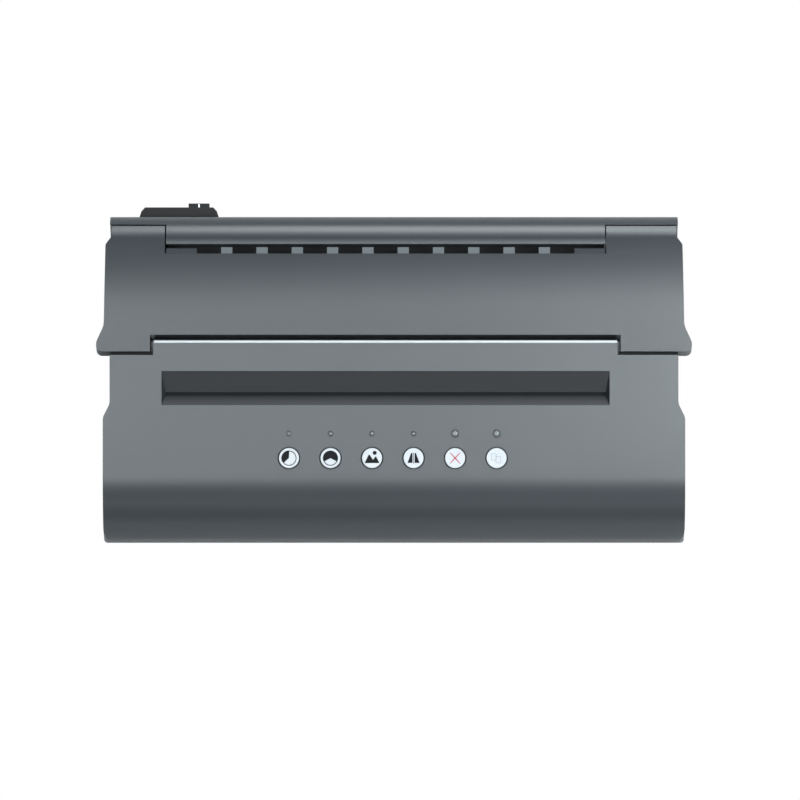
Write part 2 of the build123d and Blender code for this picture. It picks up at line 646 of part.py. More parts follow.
def mate_phase(phase, teeth, mate_teeth, direction):
    """Phase of a gear that meshes with another lying at direction (radians) from it."""
    return direction + pi - (pi - (direction - phase) * teeth) / mate_teeth


def gear(teeth, phase, centre, left, width):
    """One gear wheel about centre (y, z), without its bore."""
    return across(Pos(*centre) * gear_face(teeth, phase), left, left + width)


def bearing_direction(start, end):
    return atan2(end[1] - start[1], end[0] - start[0])


def at_distance(start, distance, angle):
    """The point at that distance from start, at angle degrees from +Y towards +Z."""
    return (start[0] + distance * cos(radians(angle)), start[1] + distance * sin(radians(angle)))


def centre_distance(teeth, mate_teeth):
    return pitch_radius(teeth) + pitch_radius(mate_teeth)


PLATEN = (PLATEN_Y, PLATEN_Z)
hinge_reach = hypot(HINGE_Y - PLATEN_Y, HINGE_Z - PLATEN_Z)
hinge_angle = degrees(atan2(PLATEN_Z - HINGE_Z, PLATEN_Y - HINGE_Y))
mesh_reach = sqrt(hinge_reach**2 - pitch_radius(PLATEN_TEETH) ** 2)
mesh_swing = degrees(atan2(pitch_radius(PLATEN_TEETH), mesh_reach))
# the platen's gear leaves its mate squarely when the lid lifts: the line of centres is
# square to the line from the hinge to the meshing point
STENCIL_GEAR = at_distance(
    PLATEN, centre_distance(PLATEN_TEETH, STENCIL_SMALL_TEETH), hinge_angle + mesh_swing + 90 + 360
)
STENCIL_PINION = at_distance(STENCIL_GEAR, centre_distance(STENCIL_LARGE_TEETH, PINION_TEETH), -61.0)

ramp_start = recess_lines()[0]
feed_contact = (
    FEED_CONTACT_Y,
    ramp_start[1] - (FEED_CONTACT_Y - ramp_start[0]) * tan(radians(PATH_RAMP_ANGLE)),
)
FEED = at_distance(feed_contact, FEED_RADIUS + NIP_GAP, -90 - PATH_RAMP_ANGLE)
SCAN = at_distance(FEED, centre_distance(FEED_TEETH, SCAN_TEETH), 19.4)
DOC_GEAR = at_distance(FEED, centre_distance(FEED_TEETH, DOC_SMALL_TEETH), 222.0)
DOC_PINION = at_distance(DOC_GEAR, centre_distance(DOC_LARGE_TEETH, PINION_TEETH), 190.0)

scan_phase = 0.0
feed_phase = mate_phase(scan_phase, SCAN_TEETH, FEED_TEETH, bearing_direction(SCAN, FEED))
doc_small_phase = mate_phase(feed_phase, FEED_TEETH, DOC_SMALL_TEETH, bearing_direction(FEED, DOC_GEAR))
doc_large_phase = 0.0
doc_pinion_phase = mate_phase(
    doc_large_phase, DOC_LARGE_TEETH, PINION_TEETH, bearing_direction(DOC_GEAR, DOC_PINION)
)
platen_phase = bearing_direction(PLATEN, STENCIL_GEAR)
stencil_small_phase = mate_phase(
    platen_phase, PLATEN_TEETH, STENCIL_SMALL_TEETH, bearing_direction(PLATEN, STENCIL_GEAR)
)
stencil_large_phase = 0.0
stencil_pinion_phase = mate_phase(
    stencil_large_phase, STENCIL_LARGE_TEETH, PINION_TEETH, bearing_direction(STENCIL_GEAR, STENCIL_PINION)
)


# ---- frames ---------------------------------------------------------------------------
def frame_side():
    """Side view of both side frames: low under the panel, dipped under the platen."""
    return outline(
        (FRAME_FRONT_Y, FLOOR_Z),
        (FRAME_FRONT_Y, FRAME_TOP_FRONT_Z),
        (FEED[0] - 12, FRAME_TOP_FRONT_Z),
        (FEED[0] - 6, 44.0),
        (SCAN[0] - 7, 51.5),
        (PLATEN_Y - 11, 51.5),
        (PLATEN_Y - 9, FRAME_DIP_Z - 2),
        (PLATEN_Y + 9, FRAME_DIP_Z - 2),
        (PLATEN_Y + 12, FRAME_REAR_Z),
        (HINGE_Y - 7, FRAME_REAR_Z + 2),
        (HINGE_Y - 4.5, HINGE_Z),
        (HINGE_Y + 4.5, HINGE_Z),
        (HINGE_Y + 4.5, FRAME_REAR_Z),
        (FRAME_REAR_Y, FRAME_REAR_Z),
        (FRAME_REAR_Y, FLOOR_Z),
    ) + disc(4.5)


def frame_plate(left, thickness):
    """A side frame with its bores for the hinge pin and for the two rollers' bushes."""
    face = frame_side()
    plate = across(face, left, left + thickness)
    plate -= rod(HINGE_PIN_RADIUS, left - 1, left + thickness + 1, HINGE_Y, HINGE_Z)
    for centre in (FEED, SCAN):
        plate -= rod(BUSH_RADIUS, left - 1, left + thickness + 1, *centre)
    low, front, rear = PARTING_Z + 4, FEED[0] + 16, FRAME_REAR_Y - 8
    window = outline((front, low), (rear, low), (rear, 24), (front, 32), radii=3)
    return plate - across(window, left - 1, left + thickness + 1)


def make_left_frame():
    return frame_plate(FRAME_LEFT - FRAME_THICKNESS, FRAME_THICKNESS)


def make_right_frame():
    return frame_plate(FRAME_RIGHT, FRAME_THICKNESS)


def make_gear_plate():
    """Outer plate of the gear case: it carries both motors and the gears' studs."""
    face = outline(
        (DOC_PINION[0] - 14, FLOOR_Z),
        (DOC_PINION[0] - 14, DOC_PINION[1] + 9),
        (FEED[0] - 8, 42.0),
        (SCAN[0] - 2, 52.0),
        (STENCIL_GEAR[0], 52.0),
        (HINGE_Y - 6, FRAME_REAR_Z + 2),
        (HINGE_Y - 4.5, HINGE_Z),
        (HINGE_Y + 4.5, HINGE_Z),
        (HINGE_Y + 4.5, 48.0),
        (HINGE_Y + 4.5, FLOOR_Z),
    ) + disc(4.5)
    plate = across(face, GEAR_PLATE_X, MOTOR_X)
    plate -= rod(HINGE_PIN_RADIUS, GEAR_PLATE_X - 1, MOTOR_X + 1, HINGE_Y, HINGE_Z)
    for centre in (DOC_PINION, STENCIL_PINION):
        plate -= rod(PINION_HUB_RADIUS + 0.6, GEAR_PLATE_X - 1, MOTOR_X + 1, *centre)
    for centre in (DOC_GEAR, STENCIL_GEAR):
        plate -= rod(STUD_RADIUS, GEAR_PLATE_X - 1, MOTOR_X + 1, *centre)
    return plate


def make_gear_studs():
    """Two fixed studs that the compound gears turn on, between frame and gear plate."""
    return [rod(STUD_RADIUS, FRAME_RIGHT + FRAME_THICKNESS, MOTOR_X, *c) for c in (DOC_GEAR, STENCIL_GEAR)]


def make_hinge_pins():
    """Two pins on the lid's hinge line, each held at both its ends."""
    return [
        rod(HINGE_PIN_RADIUS, POST_LEFT, FRAME_LEFT, HINGE_Y, HINGE_Z),
        rod(HINGE_PIN_RADIUS, FRAME_RIGHT, MOTOR_X, HINGE_Y, HINGE_Z),
    ]


def bush(centre, left, thickness):
    """A flanged bush in a plate, its bore running on a roller's shaft."""
    ring = rod(BUSH_RADIUS, left, left + thickness, *centre)
    ring += rod(BUSH_RADIUS + 1.0, left - 0.8, left, *centre)
    return ring - rod(SHAFT_RADIUS + RUN, left - 2, left + thickness + 2, *centre)


def make_roller_bushes():
    """Four bushes of the feed and scan rollers in the side frames."""
    left = FRAME_LEFT - FRAME_THICKNESS
    return [bush(c, x, FRAME_THICKNESS) for c in (FEED, SCAN) for x in (left, FRAME_RIGHT)]


def make_platen_bushes():
    """Two bushes of the platen in the arms of the lid's frame."""
    return [bush(PLATEN, ARM_LEFT, ARM_WALL), bush(PLATEN, ARM_RIGHT - ARM_WALL, ARM_WALL)]


# ---- turning parts --------------------------------------------------------------------
def make_platen_shaft():
    """Steel shaft of the platen, from the left arm to the end of its gear."""
    return rod(SHAFT_RADIUS, ARM_LEFT - 1.5, INNER_GEAR_X + INNER_GEAR_WIDTH, *PLATEN)


def sleeve(radius, bore, left, right, centre):
    return rod(radius, left, right, *centre) - rod(bore, left - 1, right + 1, *centre)


def make_platen_roller():
    """Rubber sleeve of the platen, full width of the stencil paper."""
    return sleeve(PLATEN_RADIUS, SHAFT_RADIUS, ROLLER_LEFT, ROLLER_RIGHT, PLATEN)


def shaft_gear(teeth, phase, centre):
    """A roller's gear in the inner plane, pressed on the roller's shaft."""
    wheel = gear(teeth, phase, centre, INNER_GEAR_X, INNER_GEAR_WIDTH)
    return wheel - rod(SHAFT_RADIUS, INNER_GEAR_X - 1, OUTER_GEAR_X, *centre)


def make_platen_gear():
    return shaft_gear(PLATEN_TEETH, platen_phase, PLATEN)


def make_scan_shaft():
    return rod(SHAFT_RADIUS, FRAME_LEFT - FRAME_THICKNESS - 1.5, INNER_GEAR_X + INNER_GEAR_WIDTH, *SCAN)


def make_scan_roller():
    """White rubber sleeve that carries the document over the image sensor."""
    return sleeve(SCAN_RADIUS, SHAFT_RADIUS, ROLLER_LEFT, ROLLER_RIGHT, SCAN)


def make_scan_gear():
    return shaft_gear(SCAN_TEETH, scan_phase, SCAN)


def make_feed_shaft():
    return rod(SHAFT_RADIUS, FRAME_LEFT - FRAME_THICKNESS - 1.5, INNER_GEAR_X + INNER_GEAR_WIDTH, *FEED)


def make_feed_tyres():
    """Short rubber tyres that draw the document in from the slot."""
    tyres = []
    for i in range(FEED_TYRE_COUNT):
        left = PAPER_X + (i - (FEED_TYRE_COUNT - 1) / 2) * FEED_TYRE_PITCH - FEED_TYRE_WIDTH / 2
        tyres.append(sleeve(FEED_RADIUS, SHAFT_RADIUS, left, left + FEED_TYRE_WIDTH, FEED))
    return tyres


def make_feed_gear():
    return shaft_gear(FEED_TEETH, feed_phase, FEED)


def compound_gear(small_teeth, small_phase, large_teeth, large_phase, centre):
    """A large wheel in the outer plane and a small one in the inner plane, in one piece."""
    large = gear(large_teeth, large_phase, centre, OUTER_GEAR_X, OUTER_GEAR_WIDTH)
    small = gear(small_teeth, small_phase, centre, INNER_GEAR_X, OUTER_GEAR_X - INNER_GEAR_X)
    return large + small - rod(STUD_RADIUS + RUN, INNER_GEAR_X - 1, GEAR_PLATE_X, *centre)


def make_stencil_gear():
    return compound_gear(
        STENCIL_SMALL_TEETH, stencil_small_phase, STENCIL_LARGE_TEETH, stencil_large_phase, STENCIL_GEAR
    )


def make_document_gear():
    return compound_gear(DOC_SMALL_TEETH, doc_small_phase, DOC_LARGE_TEETH, doc_large_phase, DOC_GEAR)


def pinion(phase, centre):
    """A motor's pinion with its hub and shaft, reaching back into the motor."""
    wheel = gear(PINION_TEETH, phase, centre, OUTER_GEAR_X, OUTER_GEAR_WIDTH)
    hub = rod(PINION_HUB_RADIUS, OUTER_GEAR_X + OUTER_GEAR_WIDTH, MOTOR_X + 1, *centre)
    return wheel + hub


def make_stencil_pinion():
    return pinion(stencil_pinion_phase, STENCIL_PINION)


def make_document_pinion():
    return pinion(doc_pinion_phase, DOC_PINION)


def motor(centre):
    """A flat stepper motor: round can, oval flange with two ears, and a hub recess."""
    can = rod(MOTOR_RADIUS, MOTOR_X, MOTOR_X + MOTOR_LENGTH, *centre)
    flange = Pos(*centre) * SlotOverall(2 * MOTOR_RADIUS + 9, 9)
    can += across(flange, MOTOR_X, MOTOR_X + 1.0)
    return can - rod(PINION_HUB_RADIUS + 0.3, MOTOR_X - 1, MOTOR_X + 2, *centre)


def make_stencil_motor():
    return motor(STENCIL_PINION)


def make_document_motor():
    return motor(DOC_PINION)


# ---- print head -----------------------------------------------------------------------
def make_thermal_head():
    """Ceramic head on its board: a raised bead under the platen and a driver cover."""
    left, right = HEAD_LEFT, HEAD_RIGHT
    front, rear = PLATEN_Y - HEAD_DEPTH / 2, PLATEN_Y + HEAD_DEPTH / 2
    top = NIP_Z - 0.5
    head = block(left, right, front, rear, NIP_Z - HEAD_THICKNESS, top)
    bead = outline((PLATEN_Y - 2, top), (PLATEN_Y + 2, top), (PLATEN_Y + 1, NIP_Z), (PLATEN_Y - 1, NIP_Z))
    return head + across(bead, left, right)


def make_heat_sink():
    """Aluminium bar under the head, with fins along its underside."""
    top = NIP_Z - HEAD_THICKNESS
    front = PLATEN_Y - HEAD_DEPTH / 2
    bar = block(HEAD_LEFT, HEAD_RIGHT, front, front + HEAD_DEPTH, top - SINK_THICKNESS, top)
    pitch = HEAD_DEPTH / SINK_FIN_COUNT
    for i in range(SINK_FIN_COUNT - 1):
        y = front + (i + 1) * pitch
        for left, right in ((-112, -66), (-50, 46), (62, 108)):
            bar -= block(PAPER_X + left - 3, PAPER_X + right + 3, y - 0.9, y + 0.9, 0, top - 2.2)
    return bar


HEAD_SPRING_X = [PAPER_X - PAPER_WIDTH / 4, PAPER_X + PAPER_WIDTH / 4]


def spring_tube(x, y, bottom, top):
    """A compression spring's envelope: a tube of the coil's outer and inner radius."""
    bore = post(SPRING_RADIUS - SPRING_WIRE, x, y, bottom - 1, top + 1)
    return post(SPRING_RADIUS, x, y, bottom, top) - bore


def head_spring_span():
    top = NIP_Z - HEAD_THICKNESS - SINK_THICKNESS
    return top - SPRING_LENGTH, top


def make_head_springs():
    low, high = head_spring_span()
    return [spring_tube(x, PLATEN_Y, low, high) for x in HEAD_SPRING_X]


def make_cross_bar():
    """Folded steel bar between the side frames, under the print head's springs."""
    top = head_spring_span()[0]
    front, rear = PLATEN_Y - CROSS_BAR_DEPTH / 2, PLATEN_Y + CROSS_BAR_DEPTH / 2
    bar = block(FRAME_LEFT, FRAME_RIGHT, front, rear, top - FRAME_THICKNESS, top)
    for y in (front, rear - FRAME_THICKNESS):
        bar += block(FRAME_LEFT, FRAME_RIGHT, y, y + FRAME_THICKNESS, top - CROSS_BAR_LIP, top)
    return bar


def make_stencil_chute():
    """Curved guide from the rear slot round under the hinge line and down to the nip."""
    ring = disc(CHUTE_RADIUS + CHUTE_WALL) - disc(CHUTE_RADIUS)
    wedge = outline(
        (HINGE_Y, HINGE_Z),
        (HINGE_Y + 30, HINGE_Z),
        (HINGE_Y + 30, HINGE_Z - 30),
        (HINGE_Y - 6.0, HINGE_Z - 30),
    )
    end = at_distance((HINGE_Y, HINGE_Z), CHUTE_RADIUS, degrees(atan2(-30, -6)))
    end_low = at_distance((HINGE_Y, HINGE_Z), CHUTE_RADIUS + CHUTE_WALL, degrees(atan2(-30, -6)))
    nose_y = PLATEN_Y + HEAD_DEPTH / 2 + 1.5
    tail = outline(end, end_low, (nose_y, NIP_Z - 0.9 - CHUTE_WALL), (nose_y, NIP_Z - 0.9))
    left, right = CAP_LEFT + CHUTE_END_GAP, CAP_RIGHT - CHUTE_END_GAP
    return across(ring & wedge, left, right) + across(tail, FRAME_LEFT, FRAME_RIGHT)


# ---- scanning -------------------------------------------------------------------------
SENSOR_TOP = at_distance(SCAN, SCAN_RADIUS + NIP_GAP, -90 - SENSOR_ANGLE)


def sensor_block(left, right, half_width, low, high):
    """A block on the tilted sensor's own axes, low and high measured from its glass."""
    face = Pos(*SENSOR_TOP) * Rot(0, 0, -SENSOR_ANGLE) * (
        Pos(0, (low + high) / 2) * Rectangle(2 * half_width, high - low)
    )
    return across(face, left, right)


def make_image_sensor():
    """Contact image sensor bar, tilted to the document's path, with its glass seat."""
    left, right = SENSOR_LEFT, SENSOR_RIGHT
    body = sensor_block(left, right, SENSOR_WIDTH / 2, -SENSOR_HEIGHT, -0.2)
    return body - sensor_block(
        left + GLASS_SEAT_END, right - GLASS_SEAT_END, SENSOR_WIDTH / 2 - 2, -SENSOR_GLASS, 1
    )


def make_sensor_glass():
    left, right = SENSOR_LEFT + GLASS_SEAT_END, SENSOR_RIGHT - GLASS_SEAT_END
    return sensor_block(left, right, SENSOR_WIDTH / 2 - 2, -SENSOR_GLASS, 0)


def make_sensor_springs():
    """Two flat leaf springs under the image sensor."""
    springs = []
    for x in (PAPER_X - PAPER_WIDTH / 3, PAPER_X + PAPER_WIDTH / 3):
        springs.append(sensor_block(x - 6, x + 6, 3.0, -SENSOR_HEIGHT - 2.4, -SENSOR_HEIGHT))
    return springs


def make_sensor_tray():
    """Moulded cradle that carries the image sensor between the side frames."""
    low = -SENSOR_HEIGHT - 2.4
    return sensor_block(FRAME_LEFT, FRAME_RIGHT, SENSOR_WIDTH / 2 + 0.2, low - 1.6, low)


def make_separation_pad():
    """Rubber pad over the feed tyres, on its holder under the recess's rear wall."""
    over = at_distance(FEED, FEED_RADIUS + NIP_GAP, 90 - PATH_RAMP_ANGLE)
    face = Pos(*over) * Rot(0, 0, -PATH_RAMP_ANGLE) * (Pos(0.6, 0.9) * Rectangle(5.0, 1.8))
    return across(face, PAPER_X - 14, PAPER_X + 14)


def make_pad_holder():
    over = at_distance(FEED, FEED_RADIUS + NIP_GAP, 90 - PATH_RAMP_ANGLE)
    face = Pos(*over) * Rot(0, 0, -PATH_RAMP_ANGLE) * (Pos(0.6, 2.5) * Rectangle(6.4, 1.4))
    return across(face, FRAME_LEFT, FRAME_RIGHT)


def exit_chute_line():
    """Lower guide's top line: from behind the sensor to the exit slot's lower edge."""
    end = (REAR_Y - WALL, DOC_EXIT_Z + 1.0)
    start_y = SENSOR_TOP[0] + SENSOR_WIDTH / 2 + 3.0
    start = (start_y, end[1] + (end[0] - start_y) * tan(radians(DOC_EXIT_ANGLE)))
    return start, end


def make_document_chute():
    """Lower guide that leads the document down to the exit slot, with stiffening ribs."""
    start, end = exit_chute_line()
    guide = outline(start, end, (end[0], end[1] - CHUTE_WALL), (start[0], start[1] - CHUTE_WALL))
    chute = across(guide, FRAME_LEFT, FRAME_RIGHT)
    rib = outline(
        (start[0] + 4, start[1] - 1.6),
        (end[0] - 8, end[1] + 0.2),
        (end[0] - 8, end[1] - 3.0),
        (start[0] + 4, start[1] - 5.0),
    )
    for x in (-90, -30, 30, 90):
        chute += across(rib, PAPER_X + x - 0.6, PAPER_X + x + 0.6)
    return chute


# ---- electronics ----------------------------------------------------------------------
def board(sides, z):
    left, right, front, rear = sides
    return block(left, right, front, rear, z, z + BOARD_THICKNESS)


def board_posts(sides, z):
    left, right, front, rear = sides
    return [post(2.5, x, y, FLOOR_Z, z) for x in (left + 5, right - 5) for y in (front + 5, rear - 5)]


def make_main_board():
    """Controller board with its processor, memory, drivers and connectors."""
    left, right, front, rear = MAIN_BOARD
    top = MAIN_BOARD_Z + BOARD_THICKNESS
    whole = board(MAIN_BOARD, MAIN_BOARD_Z)
    for x, y, w, d, h in (
        (-40, 34, 18, 18, 1.6),
        (-68, 30, 12, 8, 1.2),
        (-8, 30, 9, 7, 1.4),
        (12, 30, 9, 7, 1.4),
        (44, 24, 20, 6, 6.0),
        (44, 52, 16, 6, 6.0),
        (-88, 50, 14, 6, 6.0),
    ):
        whole += block(x - w / 2, x + w / 2, y - d / 2, y + d / 2, top - 0.1, top + h)
    return whole


def make_power_supply():
    """Supply board with its transformer, smoothing capacitors and heat plate."""
    whole = board(SUPPLY_BOARD, SUPPLY_BOARD_Z)
    top = SUPPLY_BOARD_Z + BOARD_THICKNESS
    whole += block(-84, -64, 108, 128, top - 0.1, top + 8.5)
    whole += block(-58, -56, 104, 138, top - 0.1, top + 7.5)
    for x, y in ((-100, 110), (-100, 124)):
        whole += post(4.5, x, y, top - 0.1, top + 8.5)
    return whole


def make_board_posts():
    """Round spacers under both boards."""
    return board_posts(MAIN_BOARD, MAIN_BOARD_Z) + board_posts(SUPPLY_BOARD, SUPPLY_BOARD_Z)


def panel_block(left, right, y, half_depth, low, high):
    """A block square to the control panel, low and high measured from its face at y."""
    tilt = radians(PANEL_ANGLE)
    middle = (low + high) / 2
    place = Pos((left + right) / 2, y - sin(tilt) * middle, panel_z(y) + cos(tilt) * middle)
    return place * Rot(PANEL_ANGLE, 0, 0) * Box(right - left, 2 * half_depth, high - low)


def make_button_board():
    """Narrow board under the buttons, parallel to the control panel."""
    low = -BUTTON_BOARD_DROP - BOARD_THICKNESS
    middle_y = (BUTTON_Y + LED_Y) / 2
    left, right = BUTTON_X[0] - BUTTON_BOARD_END, BUTTON_X[-1] + BUTTON_BOARD_END
    return panel_block(left, right, middle_y, BUTTON_BOARD_HALF, low, -BUTTON_BOARD_DROP)


def make_tact_switches():
    """One push switch under each button."""
    low, half = -BUTTON_BOARD_DROP, SWITCH_SIZE / 2
    return [panel_block(x - half, x + half, BUTTON_Y, half, low, low + SWITCH_HEIGHT) for x in BUTTON_X]


def make_status_lamps():
    """Six small lamps that stand on the button board and end in the panel's holes."""
    lamps = []
    for x, radius in LED_PLACES:
        lamps.append(panel_rod(radius - 0.1, x, LED_Y, -BUTTON_BOARD_DROP, -0.3))
    return lamps


def make_button(x):
    """A round cap with a slightly domed face, a flange under the panel and a plunger."""
    low = -WALL - 0.4 - BUTTON_FLANGE
    button = panel_rod(BUTTON_RADIUS, x, BUTTON_Y, -WALL - 0.5, BUTTON_PROUD)
    button = chamfer(button.edges().sort_by(Axis.Z)[-1:], 0.35)
    flange = panel_rod(BUTTON_RADIUS + 1.0, x, BUTTON_Y, low, -WALL - 0.4)
    plunger_low = -BUTTON_BOARD_DROP + SWITCH_HEIGHT + BUTTON_TRAVEL + 0.1
    return button + flange + panel_rod(1.8, x, BUTTON_Y, plunger_low, low + 0.1)


# ---- power module ---------------------------------------------------------------------
def make_power_inlet():
    """Bezel and body of the mains inlet, with the window that the rocker sits in."""
    left, right, low, high = INLET_HOLE
    bezel = outline(
        (left - 1.8, REAR_Y), (left - 0.3, REAR_Y + BEZEL_PROUD - 2), (left + 1.5, REAR_Y + BEZEL_PROUD),
        (right - 1.5, REAR_Y + BEZEL_PROUD), (right + 0.3, REAR_Y + BEZEL_PROUD - 2), (right + 1.8, REAR_Y),
    )
    module = upright(bezel, low - 1.8, high + 1.8)
    module += block(left, right, REAR_Y - INLET_BODY_DEPTH, REAR_Y + 0.5, low, high)
    middle_z = (low + high) / 2
    socket_x = (INLET_X[0] + INLET_X[1]) / 2
    back = REAR_Y + BEZEL_PROUD - SOCKET_DEPTH
    module -= block(
        socket_x - SOCKET_WIDTH / 2, socket_x + SOCKET_WIDTH / 2, back, REAR_Y + BEZEL_PROUD + 1,
        middle_z - SOCKET_HEIGHT / 2, middle_z + SOCKET_HEIGHT / 2,
    )
    gap = 0.5
    module -= block(
        ROCKER_X[0] - gap, ROCKER_X[1] + gap, REAR_Y - 8, REAR_Y + BEZEL_PROUD + 1,
        middle_z - ROCKER_HALF_HEIGHT - gap, middle_z + ROCKER_HALF_HEIGHT + gap,
    )
    for end in (ROCKER_X[0] - gap - 1.0, ROCKER_X[1] + gap):
        module -= rod(1.5 + RUN, end, end + 1.0, REAR_Y + ROCKER_AXIS_BACK, middle_z)
    return module


def make_inlet_pins():
    """Two flat blades and an earth blade, seated in the back of the socket."""
    middle_z = (INLET_HOLE[2] + INLET_HOLE[3]) / 2
    socket_x = (INLET_X[0] + INLET_X[1]) / 2
    back = REAR_Y + BEZEL_PROUD - SOCKET_DEPTH
    front = back + PIN_LENGTH
    live, neutral = (
        block(socket_x + x - 1, socket_x + x + 1, back, front, middle_z - 4, middle_z) for x in (-7, 7)
    )
    earth = block(socket_x - 2, socket_x + 2, back, front, middle_z + 3, middle_z + 5)
    return [live, neutral, earth]


def make_rocker():
    """Rocker with a shallow V face; it rests with its lower half pressed in."""
    middle_z = (INLET_HOLE[2] + INLET_HOLE[3]) / 2
    axis_y = REAR_Y + ROCKER_AXIS_BACK
    half = ROCKER_HALF_HEIGHT - 0.7
    tip = ROCKER_PROUD - ROCKER_AXIS_BACK - 0.35
    face = outline(
        (axis_y - 2.5, middle_z - half + 2.5),
        (axis_y + 2.0, middle_z - half),
        (axis_y + tip, middle_z - half + 0.4),
        (axis_y + tip - 2.2, middle_z),
        (axis_y + tip, middle_z + half - 0.4),
        (axis_y + 2.0, middle_z + half),
        (axis_y - 2.5, middle_z + half - 2.5),
    )
    body = across(face, *ROCKER_X)
    body += rod(1.5, ROCKER_X[0] - 1.2, ROCKER_X[1] + 1.2, axis_y, middle_z)
    turn = Pos(0, axis_y, middle_z) * Rot(-ROCKER_TILT, 0, 0) * Pos(0, -axis_y, -middle_z)
    return turn * body


# ---- feet and fasteners ---------------------------------------------------------------
def make_rubber_feet():
    """Four feet whose stems are pushed through the tray's floor."""
    feet = []
    for x, y in FOOT_PLACES:
        stem = post(FOOT_STEM_RADIUS, x, y, BODY_BOTTOM_Z - 0.1, FLOOR_Z)
        feet.append(post(FOOT_RADIUS, x, y, 0, BODY_BOTTOM_Z) + stem)
    return feet


def save(name, shape):
    """Writes one named part, moved so that the origin is the middle of the footprint."""
    solids = shape if isinstance(shape, list) else [shape]
    placed = [Pos(0, -DEPTH / 2, 0) * solid for solid in solids]
    whole = placed[0] if len(placed) == 1 else Compound(children=placed)
    whole.label = name
    export_step(whole, f"parts/{name}.step")


PARTS = {
    "base_tray": make_base_tray,
    "front_panel": make_front_panel,
    "exit_strip": make_exit_strip,
    "rear_cover": make_rear_cover,
    "lid_shell": make_lid_shell,
    "lid_frame": make_lid_frame,
    "left_frame": make_left_frame,
    "right_frame": make_right_frame,
    "gear_plate": make_gear_plate,
    "gear_studs": make_gear_studs,
    "hinge_pins": make_hinge_pins,
    "roller_bushes": make_roller_bushes,
    "platen_bushes": make_platen_bushes,
    "platen_shaft": make_platen_shaft,
    "platen_roller": make_platen_roller,
    "platen_gear": make_platen_gear,
    "scan_shaft": make_scan_shaft,
    "scan_roller": make_scan_roller,
    "scan_gear": make_scan_gear,
    "feed_shaft": make_feed_shaft,
    "feed_tyres": make_feed_tyres,
    "feed_gear": make_feed_gear,
    "stencil_gear": make_stencil_gear,
    "document_gear": make_document_gear,
    "stencil_pinion": make_stencil_pinion,
    "document_pinion": make_document_pinion,
    "stencil_motor": make_stencil_motor,
    "document_motor": make_document_motor,
    "thermal_head": make_thermal_head,
    "heat_sink": make_heat_sink,
    "head_springs": make_head_springs,
    "cross_bar": make_cross_bar,
    "stencil_chute": make_stencil_chute,
    "image_sensor": make_image_sensor,
    "sensor_glass": make_sensor_glass,
    "sensor_springs": make_sensor_springs,
    "sensor_tray": make_sensor_tray,
    "separation_pad": make_separation_pad,
    "pad_holder": make_pad_holder,
    "document_chute": make_document_chute,
    "main_board": make_main_board,
    "power_supply": make_power_supply,
    "board_posts": make_board_posts,
    "button_board": make_button_board,
    "tact_switches": make_tact_switches,
    "status_lamps": make_status_lamps,
    "power_inlet": make_power_inlet,
    "inlet_pins": make_inlet_pins,
    "rocker_switch": make_rocker,
    "rubber_feet": make_rubber_feet,
}
for i, button_x in enumerate(BUTTON_X):
    PARTS[f"button_{i + 1}"] = lambda x=button_x: make_button(x)
os.makedirs("parts", exist_ok=True)
for part_name, make in PARTS.items():
    save(part_name, make())
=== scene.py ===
"""Dresses the thermal stencil copier: covers, controls, paper drive, electronics and stage."""

import json
import math

import bmesh
import bpy
import numpy as np
from mathutils import Matrix, Vector


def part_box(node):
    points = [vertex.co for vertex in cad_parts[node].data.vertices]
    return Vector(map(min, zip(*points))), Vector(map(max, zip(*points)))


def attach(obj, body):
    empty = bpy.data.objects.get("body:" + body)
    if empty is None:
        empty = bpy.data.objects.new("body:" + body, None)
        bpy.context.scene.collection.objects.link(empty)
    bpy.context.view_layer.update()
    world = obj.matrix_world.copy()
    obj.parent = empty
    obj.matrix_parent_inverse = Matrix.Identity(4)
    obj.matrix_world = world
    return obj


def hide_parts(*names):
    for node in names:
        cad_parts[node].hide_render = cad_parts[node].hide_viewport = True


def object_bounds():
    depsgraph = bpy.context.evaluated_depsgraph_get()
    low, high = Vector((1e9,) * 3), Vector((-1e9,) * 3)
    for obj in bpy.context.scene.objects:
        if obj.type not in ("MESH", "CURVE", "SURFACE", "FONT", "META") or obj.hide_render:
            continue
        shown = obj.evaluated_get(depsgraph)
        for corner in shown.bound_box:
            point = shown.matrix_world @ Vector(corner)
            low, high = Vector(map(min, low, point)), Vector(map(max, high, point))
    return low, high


bl_info = {
    "name": "Stencil copier dressing",
    "version": (1, 0, 0),
    "blender": (4, 5, 0),
    "location": "View3D > Sidebar > Copier",
    "description": "Builds the finishes and the fine pieces of a thermal stencil copier",
    "category": "Object",
}

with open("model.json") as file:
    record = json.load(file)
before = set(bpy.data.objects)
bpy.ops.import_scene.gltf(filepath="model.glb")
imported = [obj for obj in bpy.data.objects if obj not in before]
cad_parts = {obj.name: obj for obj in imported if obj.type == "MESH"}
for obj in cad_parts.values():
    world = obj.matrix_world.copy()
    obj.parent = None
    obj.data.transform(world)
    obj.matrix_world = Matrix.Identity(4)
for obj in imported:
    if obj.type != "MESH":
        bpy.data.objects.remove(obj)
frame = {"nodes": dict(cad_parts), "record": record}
cad_low, cad_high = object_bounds()

MM = 0.001
PANEL_ANGLE = math.radians(15.0)
CIRCLE_STEPS = 64
NOSE_Y = cad_low.y  # the front of the nose, which the depths of the object are counted from


# ---- where things are, read from the frame ----------------------------------------------
def middle(node):
    """Middle of a node's box."""
    low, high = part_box(node)
    return (low + high) / 2


def linear(red, green, blue):
    """An sRGB colour given from 0 to 255, as the linear colour that the shaders take."""
    def channel(value):
        value = value / 255
        return value / 12.92 if value <= 0.04045 else ((value + 0.055) / 1.055) ** 2.4

    return (channel(red), channel(green), channel(blue), 1.0)


